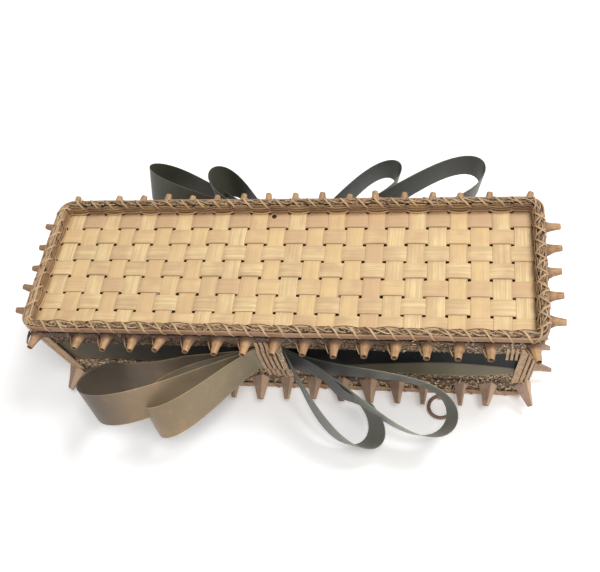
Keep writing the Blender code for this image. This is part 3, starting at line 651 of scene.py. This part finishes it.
def curls(name, count, zones, seed, span):
    """Short curls standing on the braids, in zones of (lowest, highest, offset) and over a span of the
    way round: place + radius (first cos a + second sin a), where a runs over about two thirds of a
    turn, first lies in the wall's face and second leans out of it."""
    rng = np.random.default_rng(seed)
    low, high, offset = zones[rng.integers(0, len(zones), count)].T
    z = rng.uniform(low, high)
    middle, out = round_the_basket(rng.uniform(*span, count) * round_length, offset, z, lean(z))
    radius = rng.uniform(0.7, 1.25, (count, 1, 1))
    spin, tip = rng.uniform(0, 2 * np.pi, (2, count, 1))
    beside = np.cross(up, out)
    first = beside * np.cos(spin) + up * np.sin(spin)
    level = up * np.cos(spin) - beside * np.sin(spin)
    second = unit(level * (0.6 + 0.4 * np.cos(tip)) + out * np.sin(tip) * 0.7)
    angle = np.linspace(0, rng.uniform(3.0, 4.4, count), 6).T[..., None]
    path = middle[:, None] + radius * (first[:, None] * np.cos(angle) + second[:, None] * np.sin(angle))
    blade = oval_section(1.25, 0.9, 4) * rng.uniform(0.7, 1.15, (count, 1, 1, 1))
    rings = carried(path, np.cross(first, second)[:, None], blade)
    return made_of(name, laid(rings, tones=rng.uniform(0, 1, count)), sharp=80.0)


wall_grass = grass_finish("wall_sweetgrass", (0.040, 0.024, 0.014), (0.15, 0.09, 0.05), (0.45, 0.30, 0.17))
curl_grass = grass_finish("curled_sweetgrass", (0.22, 0.14, 0.08), (0.58, 0.40, 0.25), (0.88, 0.69, 0.46))
# A darker copy of the curl colours: painted shade for the curls under the front rim.
shaded_grass = grass_finish("shaded_sweetgrass", (0.06, 0.035, 0.025), (0.17, 0.105, 0.07), (0.42, 0.29, 0.19))
for part, rows in (("upper", grass_rows(61.6, 78.6, 4, 11)), ("lower", grass_rows(8.9, 35.4, 6, 21))):
    plaits = made_of(part + "_grass_plaits", *rows)
    dress(plaits, "basket", "sweetgrass", wall_grass, part + "_grass_rows")
upper_zones = np.array([[62.6, 71.0, 4.2], [71.0, 77.2, 5.2]])
lower_zones = np.array([[22.0, 34.6, 4.2], [26.0, 34.6, 4.3], [9.6, 22.0, 5.0]])
# The share of the way round, from the front's left end, whose upper curls get the darker finish as painted
# shade under the rim.
shaded_end = 0.285
for name, count, zones, seed, span, finish in (
    ("upper_grass_curls", 1950, upper_zones, 41, (shaded_end, 1.0), curl_grass),
    ("shaded_grass_curls", 650, upper_zones, 42, (0.0, shaded_end), shaded_grass),
    ("lower_grass_curls", 4400, lower_zones, 43, (0.0, 1.0), curl_grass),
):
    dress(curls(name, count, zones, seed, span), "basket", "sweetgrass", finish)


# Foot: two more plaits at the table, and over them a flat hoop of brown ash that a slanting strip
# lashes on, as on the rim.
foot_plaits = made_of("foot_plaits", *grass_rows(0.4, 8.4, 2, 51))
dress(foot_plaits, "basket", "sweetgrass", wall_grass, "base_braid")
foot_hoop = made_of("foot_hoop", laid(hoop(5.4, 4.0, 5.6, 0.9, 8), True))
dress(foot_hoop, "basket", "brown_ash", hoop_finish, "base_hoop")
foot_turn = (
    (0.0, 3.0, 7.4, 0.0), (0.2, 5.2, 7.3, 0.15), (0.3, 6.05, 6.6, 0.25), (0.5, 6.1, 4.2, 0.5),
    (0.68, 6.0, 1.5, 0.75), (0.75, 5.2, 1.0, 0.8), (0.88, 3.0, 0.9, 0.95), (1.0, 3.0, 7.4, 1.0),
)
foot_lash = lashing(72, 0.0, round_length, foot_turn, 1.4, 0.25, 0.5)
dress(made_of("foot_lashing", foot_lash), "basket", "lid_splints", lash_finish)


# Ribbon round the wall: a one-inch satin ribbon, dark olive with a finely ribbed edge, laid over the
# wall between the grass rows and held by the posts that pass in front of it.
ribbon_width, ribbon_thick, ribbon_mid = 25.4, 0.3, 48.5


def ribbon_section(spans):
    """A ribbon's section: a thin flat strip, there and back across its width in that many spans."""
    across = np.linspace(-0.5, 0.5, spans + 1) * ribbon_width
    there = np.column_stack([across, 0 * across - ribbon_thick / 2])
    return np.concatenate([there, there[::-1] * (1, -1)])


def satin_finish(name, stops, specular=0.3, shade=0.0):
    """Satin: fine threads across, a smooth sheen and raised paler edge threads. Its colour runs through
    the stops of (x, colour) from left to right, painted light and shade for how each part of the
    ribbon catches the light, with soft clouds and spots on it. The inner face of a loop is painted
    darker as shade, where the tone is 1 the ribbon is painted bright as light on it, and to the right
    of the knot, where the loops leave the wall, painted shade darkens it by the share shade."""
    made, along, across, tone = started(name)
    x, y, _ = along.node("ShaderNodeTexCoord", output="Object").parts()
    # The ramp of stops by x is painted light and shade: lighter where the ribbon catches the light, near
    # black where it lies in shade.
    painted_light_span = 320
    from_left, forward = x * (1 / (painted_light_span * MM)) + 0.5, y * (1 / MM)
    stops = [(place / painted_light_span + 0.5, colour) for place, colour in stops]
    painted_light_ramp = from_left.node("ShaderNodeValToRGB", (), {0: from_left}, stops=stops)
    one_face = ribbon_width + ribbon_thick
    face = across.maths("MODULO", across, one_face)
    selvedge = face.maths("MINIMUM", face, one_face - face).step(0.9, 0.5)
    weft = along.maths("SINE", along * 9.0) * 0.5 + 0.5
    warp = across.maths("SINE", across * 14.0) * 0.5 + 0.5
    clouds = speckle(along * 0.02, across * 0.03, across * 0.01, 2.0).step(0.35, 0.7)
    spots = speckle(along * 0.12, across * 0.10, along * 0.01 + 3.0, 3.0).step(0.5, 0.72)
    fine = speckle(along * 2.5, across * 0.4, across * 0.1, 2.0)
    # Painted shade: a loop's inner face is darkened.
    inner_face_shade = across.step(25.4, 26.0) * (1.0 - tone)
    # Painted shade: right of the knot and near the wall, the front bow is darkened by the share shade.
    knot_shade = from_left.step(0.49, 0.53) * from_left.step(0.70, 0.60) * forward.step(-76, -60) * shade
    colour = blended(clouds * 0.5, painted_light_ramp, (0.68, 0.68, 0.62), "MULTIPLY")
    colour = blended(spots * 0.5, colour, (1.45, 1.22, 1.1), "MULTIPLY")
    colour = blended(fine * 0.3, colour, (1.4, 1.4, 1.4), "MULTIPLY")
    colour = blended(inner_face_shade * 0.5, colour, (0.3, 0.32, 0.3), "MULTIPLY")
    # Painted light: where the tone is 1, on the band's sprung lower strip, the colour is lightened.
    colour = blended(tone, colour, (0.20, 0.175, 0.125))
    colour = blended(knot_shade, colour, (0.3, 0.32, 0.32), "MULTIPLY")
    colour = blended(selvedge * 0.6, colour, (1.8, 1.8, 1.6), "MULTIPLY")
    height = weft * 0.35 + warp * 0.2 + selvedge * 1.5
    shine = {"Specular_IOR_Level": specular, "Sheen_Weight": specular * 0.4}
    return completed(made, colour, fine * 0.12 + 0.42, height, 0.05, **shine)


# The band's stops paint light and shade: brownish where lit at the front's left, near black in the shade
# under the rim further right.
band_painted_light = ((-150, (0.20, 0.155, 0.10)), (-60, (0.035, 0.036, 0.028)), (10, (0.010, 0.014, 0.017)))
band_s = np.linspace(0, round_length, 520, endpoint=False)
band_offset = 3.55 + 0.12 * np.sin(band_s * 0.12)
band_path, band_out = round_the_basket(band_s, band_offset, ribbon_mid, lean(ribbon_mid))
band_square = unit(band_out - up * wall_inset / wall_top)
band_rings = carried(band_path, band_square, ribbon_section(24), looped=True)
# Its lower part has sprung outward on the right of the front, and there its tone paints it as a paler
# pointed strip, painted light on the part that faces up.
# The strip's height is its greatest height times sin(pi share^1.25)^0.8, and it leans out by 0.45 of it.
sprung_from, sprung_to, sprung_height = 180, 302, 9.5
sprung_share = np.clip((band_s - sprung_from) / (sprung_to - sprung_from), 0, 1)
sprung = sprung_height * np.sin(np.pi * sprung_share**1.25) ** 0.8
below_crease = sprung[:, None] - (band_rings[0, ..., 2] - band_rings[0, ..., 2].min())
band_rings[0] += (0.45 * np.maximum(0.0, below_crease))[..., None] * band_out[:, None]
# The tone holds the mask of the painted light on the sprung strip.
band_strip = laid(band_rings, True)[:3] + (np.clip(below_crease + 0.5, 0, 1).ravel(),)
band_satin = satin_finish("band_satin", band_painted_light, 0.08)
band = dress(made_of("ribbon_round_wall", band_strip), "basket", "ribbon", band_satin, "ribbon_band")


# Upper points: a flat weaver of ash that is rolled out into a tapering tube at every other upright, so
# that the wall bristles with curls. Each tube is open at its end, and a strip stands beside it.
points_out, upper_z = 5.3, 74.7


def row_places(z, share, corner_turn, room=0.0):
    """Root, outward and rightward directions of one row of points: fifteen on each long side, five on
    each end and one at each corner."""
    grown = panel_half + points_out + lean(z)
    evenly = (np.arange(15) / 14 - 0.5) * 2 * grown[0] * share + 2.6
    evenly[:13] -= room
    places = [(x, sign * grown[1], 0, sign) for sign in (-1, 1) for x in evenly]
    ends = (np.arange(5) / 4 - 0.5) * 2 * grown[1] * 0.67
    places += [(sign * grown[0], y, sign, 0) for sign in (-1, 1) for y in ends]
    centre, radius = panel_half + lean(z) - corner_radius, corner_radius + points_out
    for corner in np.array([(-1, -1), (1, -1), (1, 1), (-1, 1)]):
        aim = corner * (math.cos(corner_turn), math.sin(corner_turn))
        places.append((*(corner * centre + aim * radius), *aim))
    places = np.array(places)
    root = np.column_stack([places[:, :2], np.full(len(places), z)])
    out = np.column_stack([places[:, 2:], np.zeros(len(places))])
    return root, out, np.cross(up, out)


def point_path(root, out, right, forward, aside, drop):
    """root + out * forward + right * aside - up * drop, for each point and each station."""
    steps = out[:, None] * forward[..., None] + right[:, None] * aside[..., None] - up * drop[..., None]
    return root[:, None] + steps


def rolled_tubes(root, out, right, rng):
    """Tapering tubes. A tube's section is a circle that grows by a sixth on its way round, so that the
    rolled splint's edge shows, and past the mouth the same section returns inside as the bore."""
    count = len(root)
    length = rng.uniform(9.6, 11.2, (count, 1))
    run = np.array([-0.06, 0.12, 0.3, 0.5, 0.7, 0.88, 0.985, 1.0, 0.985, 0.8, 0.55])
    shrink = np.array([0, 0, 0, 0, 0, 0, 0, 0.06, 0.3, 0.36, 0.4])
    aside = 0.5 * (1 - run) - 0.3 + rng.normal(0, 0.5, (count, 1)) * run**2
    drop = (-2.0 + rng.normal(0, 0.6, (count, 1))) * run
    path = point_path(root, out, right, length * run, aside, drop)
    turn = full_turn(14)
    spiral = 1 + 0.16 * turn / (2 * np.pi)
    circle = np.stack([np.cos(turn + 1.9), np.sin(turn + 1.9)], axis=-1) * spiral[:, None]
    wide = np.interp(run, [-0.06, 0.15, 0.45, 1.0], [5.2, 3.5, 2.5, 1.7]) - shrink
    high = np.interp(run, [-0.06, 0.5, 1.0], [3.0, 2.4, 1.75]) - shrink
    section = circle * np.stack([wide, high * 0.95], axis=-1)[:, None]
    along = unit(path[:, 7] - path[:, 1])[:, None, None]
    across = unit(np.cross(up, along))
    return path[..., None, :] + across * section[..., :1] + np.cross(along, across) * section[..., 1:]


def standing_strips(root, out, right, rng):
    """The strip beside each tube: it leaves the weaver to the left of the root and runs towards the tip,
    and on the two ends of the basket it is shorter and closer."""
    run = np.linspace(-0.05, 0.76, 7)
    near = np.where(np.abs(out[:, :1]) > 0.5, 0.7, 1.0)
    waver = rng.normal(0, 0.3, (len(root), 1))
    aside = (-5.2 - 0.4 * np.sin(4 * run) + 3.6 * run + waver) * near
    path = point_path(root, out, right, 10.4 * run * near, aside, -1.4 * run + 0 * near)
    height = np.interp(run, [0, 0.5, 1], [3.4, 1.9, 0.9])
    section = flat_section(1.0, 1.0) * np.stack([height, np.full_like(height, 0.5)], axis=-1)[:, None]
    return carried(path, right[:, None], section)


def curl_finish(name, light, orange, dark, shine=0.42, root=None, flank=None, belly=None):
    """Curled ash: orange-brown with fine lengthwise streaks, darker where it is bent and rubbed, with
    a root up to 6 mm from the wall painted dark as the shade under the rim, and a flank painted paler
    as light or a belly painted dark as shade, where these are asked for."""
    made, along, across, tone = started(name)
    own = tone * 53.0
    streak = speckle(along * 0.06 + own, across * 1.1, own, 3.0).step(0.32, 0.68)
    fine = speckle(along * 0.2, across * 4.5, own, 2.0)
    stain = speckle(along * 0.22, across * 0.25 + own, own + 4.0, 2.0).step(0.42, 0.72)
    colour = blended(streak, orange, light)
    colour = blended(tone * 0.3 + tone.step(0.96, 1.0) * 0.35, colour, dark)
    colour = blended(stain * 0.55, colour, dark)
    # Painted light: the flank that faces up and to the right is paler.
    if flank:
        colour = blended(across.step(2.7, 3.2) * across.step(5.9, 5.3) * 0.8, colour, flank)
    # Painted shade: the underside of a tube is darker.
    if belly:
        colour = blended(across.step(2.6, 4.4) * across.step(9.0, 7.4) * 0.7, colour, belly)
    # Painted shade: the root near the wall, under the rim, is darker.
    if root:
        colour = blended(along.step(6.0, 2.0) * 0.85, colour, root)
    colour = blended(fine.step(0.5, 0.75) * 0.3, colour, darker(dark, 0.5))
    return completed(made, colour, fine * 0.2 + shine, fine + streak * 0.5, 0.1, Specular_IOR_Level=0.4)


point_rng = np.random.default_rng(61)
frames = row_places(upper_z, 0.786, math.radians(80.0))
point_count = len(frames[0])
tube_rings = rolled_tubes(*frames, point_rng)
tube_tones = point_rng.uniform(0, 0.95, point_count)
left_end = slice(30, 35)
tube_tones[left_end] = 1.0
strips = laid(standing_strips(*frames, point_rng), tones=point_rng.uniform(0, 1, point_count))
# Its root and belly colours are painted shade.
curl_ash = curl_finish(
    "curled_ash", (0.62, 0.385, 0.20), (0.45, 0.255, 0.12), (0.20, 0.11, 0.06),
    root=(0.17, 0.10, 0.07), belly=(0.20, 0.12, 0.085),
)
upper_points = made_of("upper_points", laid(tube_rings, tones=tube_tones), strips)
dress(upper_points, "basket", "curled_ash", curl_ash, "upper_point_weaver")
# The weaver band between the points is painted near black as the shade under the rim; the lower band reuses
# this colour.
weaver_ash = curl_finish(
    "point_weaver_ash", (0.16, 0.10, 0.065), (0.11, 0.065, 0.042), (0.06, 0.035, 0.024), 0.55
)
upper_band = laid(hoop(5.2, upper_z, 5.8, 0.5, 71), True, [0.5])
dress(made_of("upper_point_band", upper_band), "basket", "curled_ash", weaver_ash)


# Lower points: the same work in a wider splint, but folded flat instead of rolled. Each spike has one
# broad face, a narrow flank and a cut, open end, and it droops towards the table.
ring_x, lower_z = 97.84, 18.25


def folded_spikes(root, out, right, rng):
    """Tapering spikes whose section is a lopsided roof of eight corners, scaled by the station's half
    width and half height, with the bore returning inside the mouth.

    The two spikes beside the ring are narrower and 1 mm farther apart, so that it can be raised.
    """
    count = len(root)
    length = rng.uniform(11.8, 13.0, (count, 1))
    run = np.array([-0.05, 0.1, 0.35, 0.6, 0.85, 0.99, 1.0, 0.985, 0.75, 0.5])
    shrink = np.array([0, 0, 0, 0, 0, 0, 0.1, 0.45, 0.5, 0.55])
    aside = rng.normal(0, 0.5, (count, 1)) * run**2
    drop = (6.8 + rng.normal(0, 0.7, (count, 1))) * run
    roof = np.array([
        (-1, -0.3), (-0.3, 0.4), (0.4, 1), (0.72, 0.2),
        (1, -0.7), (0.55, -0.85), (0.1, -0.9), (-0.5, -0.62),
    ])
    size = rng.uniform(0.85, 1.2, (count, 1))
    from_ring = root[:, 0] - ring_x
    beside_ring = (root[:, 1] < 0) & (np.abs(from_ring) < 12.5)
    size[beside_ring] = 0.72
    root = root + right * np.where(beside_ring, np.sign(from_ring), 0.0)[:, None]
    path = point_path(root, out, right, length * run, aside, drop)
    wide = np.interp(run, [0, 0.25, 1], [5.6, 4.2, 1.8]) * size - shrink
    high = np.interp(run, [0, 1], [3.1, 1.25]) * size - shrink * 0.8
    section = roof * np.stack([wide, high], axis=-1)[:, :, None]
    return path[..., None, :] + right[:, None, None] * section[..., :1] + up * section[..., 1:]


frames = row_places(lower_z, 0.81, math.radians(66.0), 3.0)
spikes = laid(folded_spikes(*frames, point_rng), tones=point_rng.uniform(0, 1, point_count))
# Its flank colour is painted light.
fold_ash = curl_finish(
    "folded_ash", (0.46, 0.31, 0.22), (0.36, 0.235, 0.17), (0.22, 0.14, 0.105), 0.5, flank=(0.62, 0.42, 0.27)
)
lower_points = made_of("lower_points", spikes, sharp=35.0)
dress(lower_points, "basket", "shaded_ash", fold_ash, "lower_point_weaver")
lower_band = laid(hoop(5.2, lower_z, 6.1, 0.5, 73), True, [0.5])
dress(made_of("lower_point_band", lower_band), "basket", "shaded_ash", weaver_ash)


# Posts: narrow uprights of ash in front of the ribbon, which keep it from slipping: five and a thin
# grass braid at the middle of each long side and five at each corner, each five split from one splint
# at its foot. Four short ones stand at the right front.
post_z = np.array([21.8, 26.3, 32.3, 35.8, 42.0, 48.5, 55.0, 61.2, 64.7, 71.3])
post_swell = np.array([4.9, 4.9, 5.0, 6.7, 6.9, 6.9, 6.9, 6.7, 5.0, 4.9]) + 0.35


def long_side_strands(side, x, z, swell, section):
    """Strands on one long side, which is -1 for the front, standing out by swell from the panel's
    outline as it leans: y = side * (half width + lean + swell)."""
    x, y, z = np.broadcast_arrays(x, side * (panel_half[1] + lean(z) + swell), z)
    return carried(np.stack([x, y, z], axis=-1), np.array([0.0, side, 0.0]), section)


def corner_tines(corner):
    """Five flat tines side by side round one corner, counted from the corner's middle. A length on
    their own rounder arc is a shorter one on the outline's arc: length * outline radius / own radius."""
    own_radius = corner_radius + points_out
    aside = (np.arange(5)[:, None] - 2) * 3.5
    on_arc = np.minimum(np.abs(aside), own_radius * math.pi / 4)
    s = np.sign(aside) * (on_arc * round_radius / own_radius + np.abs(aside) - on_arc)
    toward_front = (-3.0, 3.0, -3.0, 3.0)[corner]
    s = s + round_knots[2 * corner + 1] + quarter / 2 + toward_front
    path, out = round_the_basket(s, points_out, post_z, lean(post_z))
    return carried(path, out, flat_section(2.3, 0.7))


post_finish = curl_finish("post_ash", (0.60, 0.40, 0.23), (0.46, 0.28, 0.15), (0.26, 0.15, 0.09), 0.5)
front_middle = -4.4
climb = np.linspace(post_z[0], post_z[-1], 80)
phase = climb / 3.4 * np.pi + np.arange(3)[:, None] * 2 * np.pi / 3
braid_swell = np.interp(climb, post_z, post_swell) + 0.4 * (1.6 + np.sin(2 * phase))
for name, middle, side in (("front_centre", front_middle, -1), ("back_centre", 0.0, 1)):
    tine_x = middle + (np.arange(5)[:, None] - 2) * 3.1
    tines = long_side_strands(side, tine_x, post_z, post_swell, flat_section(2.2, 0.7))
    tines = made_of(name + "_tines", laid(tines, tones=(0.1, 0.6, 0.3, 0.8, 0.4)))
    dress(tines, "basket", "curled_ash", post_finish, name + "_post")
    braid_x = middle + 7.4 + 1.15 * np.sin(phase)
    braid = long_side_strands(side, braid_x, climb, braid_swell, oval_section(1.5, 0.9))
    braid = made_of(name + "_braid", laid(braid, tones=(0.2, 0.5, 0.8)))
    dress(braid, "basket", "sweetgrass", curl_grass)
for corner, name in enumerate(("front_right", "back_right", "back_left", "front_left")):
    tines = made_of(name + "_corner_tines", laid(corner_tines(corner), tones=np.linspace(0, 0.9, 5)))
    dress(tines, "basket", "curled_ash", post_finish, name + "_corner_post")
short_x, short_z = 136.2 + 2.6 * np.arange(4)[:, None], np.array([54.0, 60.9, 64.7, 71.3])
short_swell = np.array([4.4, 4.4, 4.9, 5.1])
short_rings = long_side_strands(-1, short_x, short_z, short_swell, flat_section(1.7, 0.6))
shorts = made_of("short_uprights", laid(short_rings, tones=(0.1, 0.3, 0.0, 0.4)))
dress(shorts, "basket", "curled_ash", post_finish)


# Bows: on each long side the same satin ribbon passes behind the centre post five times, and between
# the passes it springs out as four loops, two to each side. It is stiff enough to stand on its edge.
pass_out, pass_step, loop_run, loop_stand, loop_full = 3.9, 0.5, 135, 56, 17
# Each loop's reach (along, out, down) and fullness in shares of these sizes, its edge's tilt and turn in
# degrees, and its powers (sag, swell).
front_loops = (
    ((-0.778, 0.581, -0.014), 1.82, (32.3, 129.3), (1.73, 1.81)),
    ((0.395, 0.654, 0.761), 1.12, (40.7, -39.4), (1.31, 1.42)),
    ((-0.484, 0.713, 0.184), 1.39, (29.8, 124.4), (1.86, 1.72)),
    ((0.746, 0.531, 0.416), 1.53, (30.8, -57.2), (1.12, 3.0)),
)
back_loops = (
    ((-0.787, 0.895, 0.006), 0.93, (23.1, 70.8), (3.0, 2.6)),
    ((0.426, 0.826, -0.199), 0.80, (-18.3, 137.4), (1.61, 1.72)),
    ((-0.356, 0.561, -0.364), 1.03, (21.2, 122.8), (2.06, 2.6)),
    ((0.842, 0.659, -0.403), 1.30, (-16.0, 119.3), (2.01, 2.66)),
)


def heading(tilt, turn):
    """The ribbon's upper edge: (sin tilt cos turn, sin tilt sin turn, cos tilt)."""
    tilt, turn = math.radians(tilt), math.radians(turn)
    return np.array([math.sin(tilt) * math.cos(turn), math.sin(tilt) * math.sin(turn), math.cos(tilt)])


def loop(start, end, tip, fullness, upright, edge, sag, swell):
    """A drop-shaped loop. With a = sin^2(pi t), it goes from its root by a along the wall, by a out
    and by a^sag down to the tip, and swings by fullness sin(2 pi t) a^(swell / 2). The ribbon's width
    turns by a from upright to its edge direction, and both strands stay outside the wall and the points."""
    t = np.linspace(0, 1, 57)[:, None]
    root = start + (end - start) * t
    away = np.sin(np.pi * t) ** 2
    wide = unit(upright + (edge - upright) * away)
    across = unit(np.cross(edge, tip - root))
    swing = fullness * np.sin(2 * np.pi * t) * away ** (swell / 2)
    path = root + (tip - root) * np.hstack([away, away, away**sag]) + across * swing
    side = np.sign(start[1])
    tilt = ribbon_width / 2 * np.abs(wide[:, 1] - upright[1])
    low_edge = path[:, 2] - ribbon_width / 2 * wide[:, 2]
    lowered = np.clip((31.3 - low_edge) / 9.8, 0, 1)
    clear = np.maximum(3.6 * np.sin(np.pi * t[:, 0]), lowered * 13.9)
    path[:, 1] = side * np.maximum(side * path[:, 1], side * root[:, 1] + tilt + clear)
    return path, wide


def bow(name, middle, side, loops, node, satin):
    """One ribbon through five passes behind the post and the four loops between them."""
    wall_y = panel_half[1] + lean(ribbon_mid)
    upright = unit(np.array([0.0, side * wall_inset, wall_top]))

    def behind(x, layer):
        """The ribbon's place behind the post, x from the bow's middle, in one of its five passes."""
        return np.array([middle + x, side * (wall_y + pass_out + (4.0 - layer) * pass_step), ribbon_mid])

    path, wide = [behind(0.0, 0)], [upright]
    for layer, ((run, stand, drop), full, turns, powers) in enumerate(loops):
        half = math.copysign(8.5, run)
        start, end = behind(half, layer), behind(half, layer + 1)
        tip = start + np.array([run * loop_run, side * stand * loop_stand, -drop * ribbon_mid])
        points, edges = loop(start, end, tip, full * loop_full, upright, heading(*turns), *powers)
        path.append(points)
        wide.append(edges)
    path, wide = np.vstack([*path, behind(0.0, 4)]), np.vstack([*wide, upright])
    through = unit(np.cross(unit(np.gradient(path, axis=0)), wide))
    section = ribbon_section(10)
    rings = path[:, None] + wide[:, None] * section[:, :1] + through[:, None] * section[:, 1:]
    piece = dress(made_of(name, laid(rings[None])), "basket", "ribbon", satin, node)


# Stops of painted light and shade along the front bow: warm brown on the lit left loops, dark at the knot,
# paler on the right loops.
front_painted_light = (
    (-106, (0.125, 0.093, 0.067)), (-78, (0.285, 0.200, 0.118)), (-12, (0.220, 0.178, 0.100)),
    (2, (0.100, 0.105, 0.075)), (24, (0.092, 0.096, 0.074)), (74, (0.270, 0.265, 0.205)),
)
# The back bow's stops: dark olive, painted a little paler towards the right as light.
back_painted_light = ((-60, (0.080, 0.077, 0.054)), (40, (0.085, 0.088, 0.068)), (110, (0.125, 0.130, 0.100)))
front_satin = satin_finish("front_bow_satin", front_painted_light, shade=0.85)
back_satin = satin_finish("back_bow_satin", back_painted_light)
bow("front_bow_ribbon", front_middle, -1, front_loops, "front_bow", front_satin)
bow("back_bow_ribbon", 0.0, 1, back_loops, "back_bow", back_satin)


# Ring: a small ring of splint wound round itself 26 times, which hangs from a strap on the foot hoop
# and here lies on the table.
ring_hinge, ring_radius, ring_winds = np.array([ring_x, -47.095, 2.6]), 7.5, 26
ring_centre = ring_hinge - (0.0, ring_radius, 0.0)


def ring_outward(turn):
    """The direction out of the ring's centre: (sin turn, cos turn, 0)."""
    return np.stack([np.sin(turn), np.cos(turn), 0 * turn], axis=-1)


core_out = ring_outward(full_turn(96))
core_rings = carried(ring_centre + ring_radius * core_out, core_out, oval_section(2.2, 2.2, 8), looped=True)
wind_turn = full_turn(ring_winds * 12)
wind_angle = ring_winds * wind_turn[:, None]
wind_out = ring_outward(wind_turn)
wind_away = wind_out * np.cos(wind_angle) + up * np.sin(wind_angle)
wind_path = ring_centre + ring_radius * wind_out + 1.05 * wind_away
wind_rings = carried(wind_path, wind_away, flat_section(1.45, 0.25), looped=True)
ring_finish = curl_finish("ring_ash", (0.34, 0.22, 0.155), (0.25, 0.155, 0.11), (0.13, 0.08, 0.055), 0.45)
ring = made_of("splint_ring", laid(core_rings, True, [0.4]), laid(wind_rings, True, [0.2]))
dress(ring, "ring", "brown_ash", ring_finish, "lifting_ring")


# Ring strap: a narrow splint of ash looped once round the ring, which it holds at the foot hoop. The
# ring turns in it.
strap_turn = full_turn(28)
strap_out = np.stack([0 * strap_turn, np.cos(strap_turn), np.sin(strap_turn)], axis=-1)
strap_rings = carried(ring_hinge + 2.0 * strap_out, strap_out, flat_section(3.4, 0.45), looped=True)
strap = made_of("splint_strap", laid(strap_rings, True))
dress(strap, "basket", "curled_ash", post_finish, "ring_strap")
